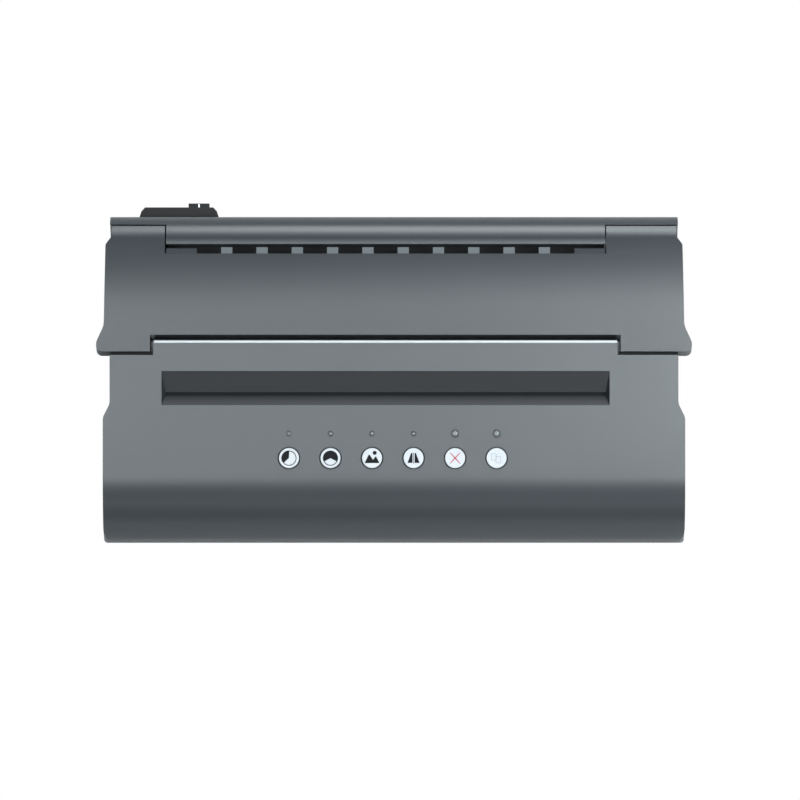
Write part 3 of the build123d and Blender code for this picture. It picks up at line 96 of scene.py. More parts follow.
BUTTONS = [f"button_{i}" for i in range(1, 7)]
PANEL_NORMAL = Vector((0, -math.sin(PANEL_ANGLE), math.cos(PANEL_ANGLE)))
PANEL_UP = Vector((0, math.cos(PANEL_ANGLE), math.sin(PANEL_ANGLE)))


# ---- settings ---------------------------------------------------------------------------
class CopierSettings(bpy.types.PropertyGroup):
    """Sizes and colours of the copier's finish."""

    casing_colour: bpy.props.FloatVectorProperty(
        name="Casing colour",
        description="Colour of the moulded body",
        subtype="COLOR",
        size=4,
        min=0.0,
        max=1.0,
        default=linear(50, 53, 56),
    )
    lid_colour: bpy.props.FloatVectorProperty(
        name="Lid colour",
        description="Colour of the hinged lid and the rear cap",
        subtype="COLOR",
        size=4,
        min=0.0,
        max=1.0,
        default=linear(41, 44, 48),
    )
    button_colour: bpy.props.FloatVectorProperty(
        name="Button colour",
        description="Colour of the round button caps",
        subtype="COLOR",
        size=4,
        min=0.0,
        max=1.0,
        default=linear(168, 171, 175),
    )
    edge_round: bpy.props.FloatProperty(
        name="Edge round",
        description="Radius of the covers' moulded edges",
        default=0.00035,
        min=0.0,
        unit="LENGTH",
        subtype="DISTANCE",
    )
    grain_depth: bpy.props.FloatProperty(
        name="Grain depth",
        description="Height of the fine texture on the covers",
        default=0.00002,
        min=0.0,
        unit="LENGTH",
        subtype="DISTANCE",
    )


# ---- shader node groups -----------------------------------------------------------------
def group_shell(name, inputs, outputs):
    """A new shader node group with its sockets; inputs maps a name to (type, default)."""
    group = bpy.data.node_groups.new(name, "ShaderNodeTree")
    for label, (kind, default) in inputs.items():
        socket = group.interface.new_socket(label, in_out="INPUT", socket_type=kind)
        socket.default_value = default
    for label, kind in outputs.items():
        group.interface.new_socket(label, in_out="OUTPUT", socket_type=kind)
    return group, group.nodes.new("NodeGroupInput"), group.nodes.new("NodeGroupOutput")


def noise_node(tree, scale, detail=3.0, roughness=0.55):
    node = tree.nodes.new("ShaderNodeTexNoise")
    node.inputs["Scale"].default_value = scale
    node.inputs["Detail"].default_value = detail
    node.inputs["Roughness"].default_value = roughness
    return node


def math_node(tree, operation, a=None, b=None):
    node = tree.nodes.new("ShaderNodeMath")
    node.operation = operation
    for index, value in enumerate((a, b)):
        if isinstance(value, (int, float)):
            node.inputs[index].default_value = value
        elif value is not None:
            tree.links.new(value, node.inputs[index])
    return node.outputs[0]


def range_node(tree, value, low, high, new_low, new_high):
    node = tree.nodes.new("ShaderNodeMapRange")
    tree.links.new(value, node.inputs["Value"])
    for label, number in zip(("From Min", "From Max", "To Min", "To Max"), (low, high, new_low, new_high)):
        node.inputs[label].default_value = number
    return node.outputs["Result"]


def mix_colour(tree, factor, first, second):
    """Mixes two colours, each a socket or a value, by a factor socket or value."""
    node = tree.nodes.new("ShaderNodeMix")
    node.data_type = "RGBA"
    for socket, value in ((node.inputs[0], factor), (node.inputs[6], first), (node.inputs[7], second)):
        if hasattr(value, "is_linked"):
            tree.links.new(value, socket)
        else:
            socket.default_value = value
    return node.outputs[2]


def object_coordinates(tree):
    return tree.nodes.new("ShaderNodeTexCoord").outputs["Object"]


def moulded_grain_group():
    """Fine spark texture of a moulding: colour speckle, roughness and bump height.

    A small-scale noise is the grain, and a slow noise over hand widths is haze.
    """
    group, given, out = group_shell(
        "moulded_grain",
        {
            "Colour": ("NodeSocketColor", (0.2, 0.2, 0.2, 1)),
            "Grain Scale": ("NodeSocketFloat", 2600.0),
            "Speckle": ("NodeSocketFloat", 0.08),
            "Roughness": ("NodeSocketFloat", 0.45),
            "Haze": ("NodeSocketFloat", 0.06),
        },
        {"Colour": "NodeSocketColor", "Roughness": "NodeSocketFloat", "Height": "NodeSocketFloat"},
    )
    position = object_coordinates(group)
    grain = noise_node(group, 2600.0, 2.0)
    group.links.new(given.outputs["Grain Scale"], grain.inputs["Scale"])
    slow = noise_node(group, 14.0, 4.0)
    for node in (grain, slow):
        group.links.new(position, node.inputs["Vector"])
    centred = math_node(group, "SUBTRACT", grain.outputs[0], 0.5)
    speckle = math_node(group, "MULTIPLY", centred, given.outputs["Speckle"])
    gain = math_node(group, "ADD", speckle, 1.0)
    scale = group.nodes.new("ShaderNodeVectorMath")
    scale.operation = "SCALE"
    group.links.new(given.outputs["Colour"], scale.inputs[0])
    group.links.new(gain, scale.inputs["Scale"])
    haze = math_node(group, "MULTIPLY", math_node(group, "SUBTRACT", slow.outputs[0], 0.5),
                     given.outputs["Haze"])
    rough = math_node(group, "ADD", given.outputs["Roughness"], haze)
    group.links.new(scale.outputs[0], out.inputs["Colour"])
    group.links.new(rough, out.inputs["Roughness"])
    group.links.new(grain.outputs[0], out.inputs["Height"])
    return group


def drawn_metal_group():
    """Rolled or turned metal: fine lines along X with slow stains between them."""
    group, given, out = group_shell(
        "drawn_metal",
        {
            "Colour": ("NodeSocketColor", (0.6, 0.6, 0.6, 1)),
            "Line Scale": ("NodeSocketFloat", 900.0),
            "Roughness": ("NodeSocketFloat", 0.3),
        },
        {"Colour": "NodeSocketColor", "Roughness": "NodeSocketFloat", "Height": "NodeSocketFloat"},
    )
    stretch = group.nodes.new("ShaderNodeMapping")
    stretch.inputs["Scale"].default_value = (0.02, 1.0, 1.0)
    group.links.new(object_coordinates(group), stretch.inputs["Vector"])
    lines = noise_node(group, 900.0, 2.0)
    group.links.new(given.outputs["Line Scale"], lines.inputs["Scale"])
    group.links.new(stretch.outputs[0], lines.inputs["Vector"])
    stain = noise_node(group, 60.0, 4.0)
    group.links.new(object_coordinates(group), stain.inputs["Vector"])
    shade = range_node(group, lines.outputs[0], 0.3, 0.7, 0.9, 1.06)
    scale = group.nodes.new("ShaderNodeVectorMath")
    scale.operation = "SCALE"
    group.links.new(given.outputs["Colour"], scale.inputs[0])
    group.links.new(shade, scale.inputs["Scale"])
    rough = math_node(
        group,
        "ADD",
        given.outputs["Roughness"],
        math_node(group, "MULTIPLY", math_node(group, "SUBTRACT", stain.outputs[0], 0.5), 0.25),
    )
    group.links.new(scale.outputs[0], out.inputs["Colour"])
    group.links.new(rough, out.inputs["Roughness"])
    group.links.new(lines.outputs[0], out.inputs["Height"])
    return group


def board_tracks_group():
    """Circuit board: tracks as the steps of a coarse cell pattern, and tinned pads."""
    group, given, out = group_shell(
        "board_tracks",
        {"Mask Colour": ("NodeSocketColor", (0.02, 0.15, 0.06, 1)), "Pitch": ("NodeSocketFloat", 420.0)},
        {"Colour": "NodeSocketColor", "Roughness": "NodeSocketFloat", "Height": "NodeSocketFloat"},
    )
    position = object_coordinates(group)
    cells = group.nodes.new("ShaderNodeTexVoronoi")
    cells.feature = "DISTANCE_TO_EDGE"
    cells.distance = "MANHATTAN"
    group.links.new(given.outputs["Pitch"], cells.inputs["Scale"])
    group.links.new(position, cells.inputs["Vector"])
    track = range_node(group, cells.outputs["Distance"], 0.04, 0.09, 1.0, 0.0)
    pads = group.nodes.new("ShaderNodeTexVoronoi")
    pads.inputs["Scale"].default_value = 300.0
    group.links.new(position, pads.inputs["Vector"])
    pad = range_node(group, pads.outputs["Distance"], 0.16, 0.2, 1.0, 0.0)
    lighter = mix_colour(group, track, given.outputs["Mask Colour"], (0.05, 0.3, 0.12, 1))
    tinned = mix_colour(group, pad, lighter, (0.62, 0.62, 0.6, 1))
    group.links.new(tinned, out.inputs["Colour"])
    group.links.new(range_node(group, pad, 0.0, 1.0, 0.42, 0.25), out.inputs["Roughness"])
    group.links.new(track, out.inputs["Height"])
    return group


# ---- materials --------------------------------------------------------------------------
def finished(name, group, values, bump=0.00002, metallic=0.0, **sockets):
    """A material whose colour, roughness and bump come from a node group.

    sockets sets the shader's own inputs, with underscores for the spaces in their names.
    """
    material = bpy.data.materials.new(name)
    material.use_nodes = True
    tree = material.node_tree
    shader = tree.nodes["Principled BSDF"]
    shader.inputs["Metallic"].default_value = metallic
    for label, value in sockets.items():
        shader.inputs[label.replace("_", " ")].default_value = value
    node = tree.nodes.new("ShaderNodeGroup")
    node.node_tree = group
    for label, value in values.items():
        node.inputs[label].default_value = value
    tree.links.new(node.outputs["Colour"], shader.inputs["Base Color"])
    tree.links.new(node.outputs["Roughness"], shader.inputs["Roughness"])
    relief = tree.nodes.new("ShaderNodeBump")
    relief.inputs["Strength"].default_value = 1.0
    relief.inputs["Distance"].default_value = bump
    tree.links.new(node.outputs["Height"], relief.inputs["Height"])
    tree.links.new(relief.outputs[0], shader.inputs["Normal"])
    return material


def make_materials(settings):
    """Every finish of the machine, by a plain name."""
    grain = moulded_grain_group()
    metal = drawn_metal_group()
    tracks = board_tracks_group()

    def moulded(name, colour, roughness=0.45, scale=2600.0, speckle=0.08,
                 bump=settings.grain_depth, **sockets):
        values = {"Colour": colour, "Roughness": roughness, "Grain Scale": scale, "Speckle": speckle}
        return finished(name, grain, values, bump, **sockets)

    def rolled(name, colour, roughness=0.3, lines=900.0, bump=0.00001):
        return finished(name, metal, {"Colour": colour, "Roughness": roughness, "Line Scale": lines},
                        bump, 1.0)

    made = {
        "casing": moulded("casing_moulding", tuple(settings.casing_colour), 0.34),
        "lid": moulded("lid_moulding", tuple(settings.lid_colour), 0.36),
        # recess: the casing's plastic with a matt roughness, given a darker colour as painted shade in the document
        # recess
        "recess": moulded("recess_painted_shade", linear(28, 30, 32), 0.6),
        # comb: rib tops lighter than the lid, as a painted highlight where the ribs catch the rear light
        "comb": moulded("comb_painted_highlight", linear(82, 86, 89), 0.4),
        "black_plastic": moulded("black_moulding", linear(38, 39, 41), 0.48, 1800.0),
        "inlet": moulded("inlet_moulding", linear(25, 24, 24), 0.5, 1800.0, Specular_IOR_Level=0.3),
        "rocker": moulded("rocker_moulding", linear(20, 20, 21), 0.5, 1800.0,
                bump=0.000004, Specular_IOR_Level=0.15),
        "gear_plastic": moulded("acetal", linear(226, 223, 210), 0.38, 900.0, 0.04, 0.000004),
        "black_rubber": moulded("ground_rubber", linear(34, 34, 35), 0.78, 3400.0, 0.2, 0.00003),
        "pale_rubber": moulded("pale_ground_rubber", linear(214, 213, 208), 0.7, 3400.0, 0.06, 0.00002),
        "button_white": moulded("button_cap", tuple(settings.button_colour), 0.28, 700.0, 0.02, 0.000002),
        "ink_dark": moulded("printed_dark", linear(18, 19, 22), 0.6, 3000.0, 0.1, 0.000002,
                Specular_IOR_Level=0.1),
        "ink_pale": moulded("printed_pale", linear(232, 234, 235), 0.5, 3000.0, 0.05, 0.000002),
        "ink_rose": moulded("printed_rose", linear(160, 74, 82), 0.6, 3000.0, 0.05, 0.000002,
                Specular_IOR_Level=0.1),
        "ink_faint": moulded("printed_faint", linear(140, 145, 150), 0.6, 3000.0, 0.05, 0.000002,
                Specular_IOR_Level=0.1),
        "ceramic": moulded("glazed_ceramic", linear(225, 219, 205), 0.22, 500.0, 0.05, 0.000002),
        "lamp": moulded("lamp_lens", linear(96, 101, 99), 0.3, 600.0, 0.05, 0.000002),
        # near-black strips under the lid's ears: painted shade in the gap between lid and panel
        "felt": moulded("painted_gap_shade", linear(9, 10, 12), 0.95, 900.0, 0.3, 0.0001),
        "chip": moulded("chip_resin", linear(28, 28, 30), 0.5, 2400.0, 0.1, 0.00001),
        # bright_strip: a real strip whose pale colour is partly a painted highlight along the panel's rear edge
        "bright_strip": moulded("bright_strip", linear(186, 190, 194), 0.3, 1400.0, 0.02, 0.000003),
        "steel": rolled("rolled_steel", linear(178, 180, 182), 0.32),
        "aluminium": rolled("extruded_aluminium", linear(205, 207, 208), 0.35, 1200.0),
        "brass": rolled("plated_brass", linear(208, 178, 112), 0.24, 1500.0, 0.000004),
        "spring_steel": rolled("spring_wire", linear(150, 152, 155), 0.26, 2000.0, 0.000003),
        "circuit_board": finished("board", tracks, {}, 0.00003),
    }
    made["glass"] = sensor_glass_material()
    return made


def sensor_glass_material():
    """Clear plate with a faint green body, as the scanner's window."""
    material = bpy.data.materials.new("window_glass")
    material.use_nodes = True
    tree = material.node_tree
    shader = tree.nodes["Principled BSDF"]
    shader.inputs["Transmission Weight"].default_value = 0.9
    shader.inputs["IOR"].default_value = 1.5
    smear = noise_node(tree, 90.0, 4.0)
    tree.links.new(object_coordinates(tree), smear.inputs["Vector"])
    tree.links.new(range_node(tree, smear.outputs[0], 0.3, 0.8, 0.02, 0.12), shader.inputs["Roughness"])
    tint = mix_colour(tree, smear.outputs[0], (0.80, 0.92, 0.88, 1), (0.86, 0.95, 0.92, 1))
    tree.links.new(tint, shader.inputs["Base Color"])
    return material


# ---- meshes -----------------------------------------------------------------------------
MATERIALS = {}


def add_piece(name, vertices, faces, material, body, smooth=True):
    """A new mesh piece, with outward normals, that rides on a body."""
    mesh = bpy.data.meshes.new(name)
    mesh.from_pydata(np.asarray(vertices).tolist(), [], [tuple(f) for f in faces])
    return finish_piece(name, mesh, material, body, smooth)


def finish_piece(name, mesh, material, body, smooth=True, sharp_angle=35.0):
    """Merges doubles, turns the faces outwards, sets the shading and binds to a body."""
    work = bmesh.new()
    work.from_mesh(mesh)
    bmesh.ops.remove_doubles(work, verts=work.verts, dist=1e-7)
    bmesh.ops.recalc_face_normals(work, faces=work.faces)
    work.to_mesh(mesh)
    work.free()
    if smooth:
        mesh.shade_smooth()
        mesh.set_sharp_from_angle(angle=math.radians(sharp_angle))
    piece = bpy.data.objects.new(name, mesh)
    bpy.context.scene.collection.objects.link(piece)
    mesh.materials.append(MATERIALS[material])
    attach(piece, body)
    return piece


def body_of_node(node):
    return next(b for b, members in frame["record"]["behaviour"]["bodies"].items() if node in members)


def rounded_copy(node, material, radius=0.0, segments=2):
    """A node's own shape with its flats joined, its curves smooth and its edges rounded."""
    mesh = frame["nodes"][node].data.copy()
    mesh.materials.clear()
    if "custom_normal" in mesh.attributes:
        mesh.attributes.remove(mesh.attributes["custom_normal"])
    work = bmesh.new()
    work.from_mesh(mesh)
    bmesh.ops.remove_doubles(work, verts=work.verts, dist=2e-6)
    bmesh.ops.dissolve_limit(
        work, angle_limit=math.radians(0.4), verts=work.verts, edges=work.edges, delimit={"NORMAL"}
    )
    work.to_mesh(mesh)
    work.free()
    mesh.shade_smooth()
    mesh.set_sharp_from_angle(angle=math.radians(18.0))
    piece = bpy.data.objects.new(node + "_finish", mesh)
    bpy.context.scene.collection.objects.link(piece)
    mesh.materials.append(MATERIALS[material])
    if radius:
        bevel = piece.modifiers.new("edge_round", "BEVEL")
        bevel.width = radius
        bevel.segments = segments
        bevel.limit_method = "ANGLE"
        bevel.angle_limit = math.radians(30.0)
        bevel.harden_normals = True
        bevel.use_clamp_overlap = True
    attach(piece, body_of_node(node))
    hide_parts(node)
    return piece


def grid_faces(rows, columns, wrap=False):
    """Quads of a grid of points in row order; wrap joins the last column to the first."""
    row, column = np.meshgrid(np.arange(rows - 1), np.arange(columns if wrap else columns - 1), indexing="ij")
    following = (column + 1) % columns
    quads = [row * columns + column, row * columns + following]
    quads += [(row + 1) * columns + following, (row + 1) * columns + column]
    return np.stack([q.ravel() for q in quads], axis=1)


def turned(profile, origin, axis, side, steps=CIRCLE_STEPS):
    """A surface of revolution: point (r, h) of the profile goes to
    origin + h * axis + r * (cos t * side + sin t * axis x side), for t round the circle."""
    profile = np.asarray(profile, float)
    axis = np.asarray(axis, float)
    side = np.asarray(side, float)
    across = np.cross(axis, side)
    turn = np.linspace(0, 2 * np.pi, steps, endpoint=False)
    ring = np.cos(turn)[:, None] * side + np.sin(turn)[:, None] * across
    points = profile[:, 1, None, None] * axis + profile[:, 0, None, None] * ring[None]
    return (points + np.asarray(origin, float)).reshape(-1, 3), grid_faces(len(profile), steps, wrap=True)


def round_profile(points, radius, steps=4):
    """A profile with its inner corners rounded by arcs, each cut to its shorter side."""
    points = [np.asarray(p, float) for p in points]
    out = [points[0]]
    for before, corner, after in zip(points, points[1:], points[2:]):
        a, b = before - corner, after - corner
        la, lb = np.linalg.norm(a), np.linalg.norm(b)
        reach = min(radius, la * 0.45, lb * 0.45)
        start, end = corner + a / la * reach, corner + b / lb * reach
        t = np.linspace(0, 1, steps + 1)[:, None]
        out += list((1 - t) ** 2 * start + 2 * t * (1 - t) * corner + t**2 * end)
    return np.array(out + [points[-1]])


def flat_shape(outline, origin, right, up, normal, thickness):
    """A thin raised shape: a closed outline (u, v) set at origin + u*right + v*up."""
    outline = np.asarray(outline, float)
    base = np.asarray(origin, float) + outline[:, :1] * np.asarray(right) + outline[:, 1:] * np.asarray(up)
    top = base + np.asarray(normal) * thickness
    count = len(outline)
    index = np.arange(count)
    sides = np.stack([index, (index + 1) % count, count + (index + 1) % count, count + index], axis=1)
    faces = [tuple(f) for f in sides] + [tuple(range(count, 2 * count)), tuple(range(count))[::-1]]
    return np.vstack([base, top]), faces


def joined(parts):
    """Several (vertices, faces) as one."""
    vertices, faces, offset = [], [], 0
    for points, quads in parts:
        vertices.append(points)
        faces += [tuple(int(i) + offset for i in face) for face in quads]
        offset += len(points)
    return np.vstack(vertices), faces


# ---- covers -----------------------------------------------------------------------------
# node: (material, edge round as a share of the setting)
COVER_FINISH = {
    "base_tray": ("casing", 1.0),
    "front_panel": ("casing", 1.0),
    "rear_cover": ("lid", 1.2),
    "lid_shell": ("lid", 1.2),
    "lid_frame": ("black_plastic", 0.7),
    "power_inlet": ("inlet", 0.9),
    "rocker_switch": ("rocker", 1.0),
}

def make_covers(settings):
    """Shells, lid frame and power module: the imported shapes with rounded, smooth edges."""
    for node, (material, share) in COVER_FINISH.items():
        cover = rounded_copy(node, material, settings.edge_round * share)
        if node == "front_panel":
            paint_recess(cover.data)
        elif node == "lid_shell":
            paint_comb(cover.data)
        elif node == "rear_cover":
            slope_cap_lip(cover.data)


def slope_cap_lip(mesh):
    """Lets the cap's front strip, 2.3 mm wide, fall 0.6 mm towards the stencil's mouth."""
    for vertex in mesh.vertices:
        if vertex.co.y < NOSE_Y + 138.4 * MM and vertex.co.z > 69.9 * MM:
            vertex.co.z -= 0.6 * MM


def faces_of(mesh):
    """Centres and normals of a mesh's faces, as two arrays of one row for each face."""
    centres = np.empty(3 * len(mesh.polygons))
    normals = np.empty(3 * len(mesh.polygons))
    mesh.polygons.foreach_get("center", centres)
    mesh.polygons.foreach_get("normal", normals)
    return centres.reshape(-1, 3), normals.reshape(-1, 3)


def paint_recess(mesh):
    """Gives the recess's faces, which lie under the panel's plane, a matt finish and a darker colour, which is painted
    shade.
    """
    centres, normals = faces_of(mesh)
    depth = (np.array(button_face("button_1")) - centres) @ np.array(PANEL_NORMAL)
    y = centres[:, 1] - NOSE_Y
    inside = (depth > 1.2 * MM) & (y > 58 * MM) & (y < 82 * MM) & (np.abs(centres[:, 0]) < 118 * MM)
    inside &= (normals[:, 2] > 0.1) | (np.abs(normals[:, 0]) > 0.9)
    # faces inside the recess take the darker recess colour: painted shade
    mesh.materials.append(MATERIALS["recess"])
    mesh.polygons.foreach_set("material_index", inside.astype(np.int32))


def paint_comb(mesh):
    """Gives the tops of the comb's ribs, in the stencil's mouth, a lighter colour as a painted highlight."""
    centres, normals = faces_of(mesh)
    y = centres[:, 1] - NOSE_Y
    tops = (normals[:, 2] > 0.9) & (y > 133.5 * MM) & (y < 137.2 * MM)
    tops &= (centres[:, 2] > 67.5 * MM) & (np.abs(centres[:, 0]) < 112 * MM)
    # rib tops take the lighter comb colour: painted highlight
    mesh.materials.append(MATERIALS["comb"])
    mesh.polygons.foreach_set("material_index", tops.astype(np.int32))


def prism(plan, bottom, top):
    """A plan outline (x, y), y from the nose, raised from one height to another, all in mm."""
    plan = np.array(plan) * MM + (0, NOSE_Y)
    return flat_shape(plan, (0, 0, bottom * MM), (1, 0, 0), (0, 1, 0), (0, 0, 1), (top - bottom) * MM)


def make_bright_strip():
    """Tear strip behind the panel: flat for 0.75 mm, then rolled over the stencil's way out. Its pale colour is partly
    a painted highlight along the panel's rear edge.

    The roll is a quarter of an ellipse: y = 0.95 mm * sin(t), z = -1.1 mm * (1 - cos(t)).
    """
    low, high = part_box("exit_strip")
    t = np.linspace(0, np.pi / 2, 10)
    roll = np.stack([0.75 + 0.95 * np.sin(t), -1.1 * (1 - np.cos(t))], axis=1)
    profile = np.vstack([[(0.0, -9.0), (0.0, -0.25), (0.25, 0.0)], roll, [(0.8, -1.1), (0.8, -9.0)]])
    profile = profile * MM + (low.y, high.z)
    strip = flat_shape(profile, (low.x, 0, 0), (0, 1, 0), (0, 0, 1), (1, 0, 0), high.x - low.x)
    piece = add_piece("bright_strip", *strip, "bright_strip", "body", smooth=False)
    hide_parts("exit_strip")


def make_comb_ends():
    """The two end ribs of the comb: lipped strips, with a groove along their rear edge."""
    profile = np.array(
        [(133.0, 67.2), (136.6, 67.2), (136.6, 68.0), (136.1, 68.0), (136.1, 68.35), (135.9, 68.6), (133.0, 68.6)]
    )
    profile = profile * MM + (NOSE_Y, 0)
    shapes = []
    for left, right in ((-113.6, -98.4), (90.0, 105.2)):
        shapes.append(
            flat_shape(profile, (left * MM, 0, 0), (0, 1, 0), (0, 0, 1), (1, 0, 0), (right - left) * MM)
        )
    add_piece("comb_ends", *joined(shapes), "lid", "lid", smooth=False)


def make_trim(settings):
    """Dark strips under the lid's ears as painted shade in their gap, the guide under the stencil's way out, recess
    and comb ends.
    """
    # near-black strips under the ears: painted shade for the gap between lid and panel
    gap_shades = []
    for inner, side in ((120.7, -1), (112.1, 1)):
        plan = [(inner, 82.6), (141.0, 82.6), (141.6, 83.6), (141.6, 86.4), (inner, 86.4)]
        gap_shades.append(prism([(side * x, y) for x, y in plan], 55.2, 56.4))
    add_piece("ear_gap_shades", *joined(gap_shades), "felt", "body", smooth=False)
    low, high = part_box("exit_strip")
    t = np.linspace(0, 1, 13)
    top = np.stack([91.75 + 4.0 * t, 51.4 - 2.6 * t**1.6], axis=1)
    profile = np.vstack([top, (top - (0, 0.5))[::-1]]) * MM + (NOSE_Y, 0)
    guide = flat_shape(
        profile, (low.x + 0.5 * MM, 0, 0), (0, 1, 0), (0, 0, 1), (1, 0, 0), high.x - low.x - 1.0 * MM
    )
    add_piece("stencil_exit_guide", *guide, "black_plastic", "body")
    make_recess_ends()
    make_comb_ends()
    make_bright_strip()


def make_recess_ends():
    """Drafted ends of the document recess: flush at the panel, 1.9 mm in at the slot."""
    side_view = np.array([(59.85, 52.06), (66.0, 48.4), (67.1, 49.8), (76.2, 56.45)])
    draft = np.array([0.02, 1.9, 1.9, 0.02])
    shapes = []
    for x, inward in ((-115.88, 1), (107.48, -1)):
        outer = np.column_stack([np.full(4, x), side_view[:, 0], side_view[:, 1]])
        inner = outer + np.column_stack([inward * draft, np.zeros(4), np.zeros(4)])
        points = np.vstack([outer, inner]) * MM + (0, NOSE_Y, 0)
        faces = [(0, 1, 2, 3), (7, 6, 5, 4)] + [(i, i + 4, (i + 1) % 4 + 4, (i + 1) % 4) for i in range(4)]
        shapes.append((points, faces))
    # the ends take the darker recess material, as painted shade
    add_piece("recess_ends", *joined(shapes), "recess", "body", smooth=False)


# ---- controls ---------------------------------------------------------------------------
def button_face(node):
    """Centre of a button's face, on the control panel's tilted axes."""
    mesh = frame["nodes"][node].data
    points = np.empty(3 * len(mesh.vertices))
    mesh.vertices.foreach_get("co", points)
    points = points.reshape(-1, 3)
    heights = points @ np.array(PANEL_NORMAL)
    face = points[heights > heights.max() - 1e-5]
    return Vector((face.min(axis=0) + face.max(axis=0)) / 2)


def panel_shape(outline_mm, centre, thickness=0.03):
    """A printed shape on the panel's axes: its outline in millimetres about centre."""
    outline = np.asarray(outline_mm, float) * MM
    return flat_shape(outline, centre, Vector((1, 0, 0)), PANEL_UP, PANEL_NORMAL, thickness * MM)


def arc_points(radius, start, end, steps=24, centre=(0, 0)):
    """Points of a circular arc from start to end degrees, in the outline's plane."""
    t = np.radians(np.linspace(start, end, steps))
    return np.stack([centre[0] + radius * np.cos(t), centre[1] + radius * np.sin(t)], axis=1)


def stroke(start, end, width, taper=0.4):
    """A straight pen stroke whose two ends are narrower than its middle."""
    start, end = np.asarray(start, float), np.asarray(end, float)
    t = np.linspace(0, 1, 9)[:, None]
    line = start + (end - start) * t
    along = (end - start) / np.linalg.norm(end - start)
    side = np.array([-along[1], along[0]])
    half = width / 2 * (taper + (1 - taper) * np.sin(np.pi * t) ** 0.5)
    return np.vstack([line + side * half, (line - side * half)[::-1]])


def pie(start, end):
    """A disc's sector from start to end degrees."""
    return np.vstack([[(0, 0)], arc_points(3.5, start, end, 40)])


def ring_shapes(radius, width, steps=32):
    """A thin ring as two half rings, so that each outline stays simple."""
    halves = []
    for start in (0, 180):
        outer = arc_points(radius, start, start + 180, steps // 2)
        inner = arc_points(radius - width, start + 180, start, steps // 2)
        halves.append(np.vstack([outer, inner]))
    return halves


def icon_shapes(index):
    """Outlines and inks of the picture on each button, in millimetres about its middle."""
    if index == 0:
        return [(pie(88, 222), "ink_dark")] + [(half, "ink_dark") for half in ring_shapes(3.6, 0.4)]
    if index == 1:
        return [(pie(-28, 208), "ink_dark")] + [(half, "ink_dark") for half in ring_shapes(3.6, 0.4)]
    if index == 2:
        hills = [(-3.9, -2.6), (-1.8, 1.7), (-1.1, 1.7), (0.5, -0.9), (1.7, 0.8), (2.2, 0.8), (3.9, -2.6)]
        sun = arc_points(1.05, 0, 345, 24, (1.4, 2.8))
        return [(np.array(hills), "ink_dark"), (sun, "ink_dark")]
    if index == 3:
        left = np.array([(-0.55, -2.5), (-0.55, 2.7), (-1.2, 2.7), (-3.2, -2.5)])
        right = left[::-1] * (-1, 1)
        bar = np.array([(-0.15, -2.9), (0.15, -2.9), (0.15, 2.9), (-0.15, 2.9)])
        return [(left, "ink_dark"), (right, "ink_dark"), (bar, "ink_dark")]
    if index == 4:
        cross = [stroke((-2.8, -3.0), (2.8, 3.0), 0.6), stroke((-2.8, 3.0), (2.8, -3.0), 0.6)]
        return [(line, "ink_rose") for line in cross]
    pages = []
    for x, y in ((-1.5, 0.6), (0.9, -0.8)):
        for low, high in (((-1.4, -1.8), (1.4, -1.5)), ((-1.4, 1.5), (1.4, 1.8)),
                          ((-1.4, -1.8), (-1.1, 1.8)), ((1.1, -1.8), (1.4, 1.8))):
            box = [(low[0], low[1]), (high[0], low[1]), (high[0], high[1]), (low[0], high[1])]
            pages.append((np.array(box) + (x, y), "ink_faint"))
    return pages


def make_buttons(settings):
    """Button caps with their printed pictures.

    A cap is turned from a profile: face dished by d(r) = 0.05 mm * (1 - (r / 4.3)^2),
    a rounded rim, and a straight side down through the panel to a flange. The lower side
    and the flange are black as painted shade in the gap round the cap.
    """
    for i, node in enumerate(BUTTONS):
        centre = button_face(node)
        body = body_of_node(node)
        dish = [(r, -0.05 * (1 - (r / 4.3) ** 2)) for r in np.linspace(0.0, 4.3, 12)]
        rim = round_profile([(4.3, 0.0), (5.0, 0.02), (5.0, -3.3), (4.8, -3.3)], 0.65, 7)
        profile = np.vstack([dish, rim[1:],
                             [(6.3, -3.3), (6.3, -4.2), (1.8, -4.2), (1.8, -5.4), (0.0, -5.4)]])
        points, faces = turned(profile * MM, centre, PANEL_NORMAL, (1, 0, 0), 72)
        cap = add_piece(f"{node}_cap", points, faces, "button_white", body)
        centres, _ = faces_of(cap.data)
        # the side below 1.3 mm and the flange take black plastic: painted shade in the gap round each cap
        under = (centres - np.array(centre)) @ np.array(PANEL_NORMAL) < -1.3 * MM
        cap.data.materials.append(MATERIALS["black_plastic"])
        cap.data.polygons.foreach_set("material_index", under.astype(np.int32))
        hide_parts(node)
        inks = {}
        scale = 1.05 if i < 2 else 0.95
        for outline, ink in icon_shapes(i):
            on_face = centre - PANEL_NORMAL * (0.05 * MM)
            inks.setdefault(ink, []).append(panel_shape(outline * scale, on_face, 0.056))
        for ink, shapes in inks.items():
            add_piece(f"{node}_{ink}", *joined(shapes), ink, body, smooth=False)


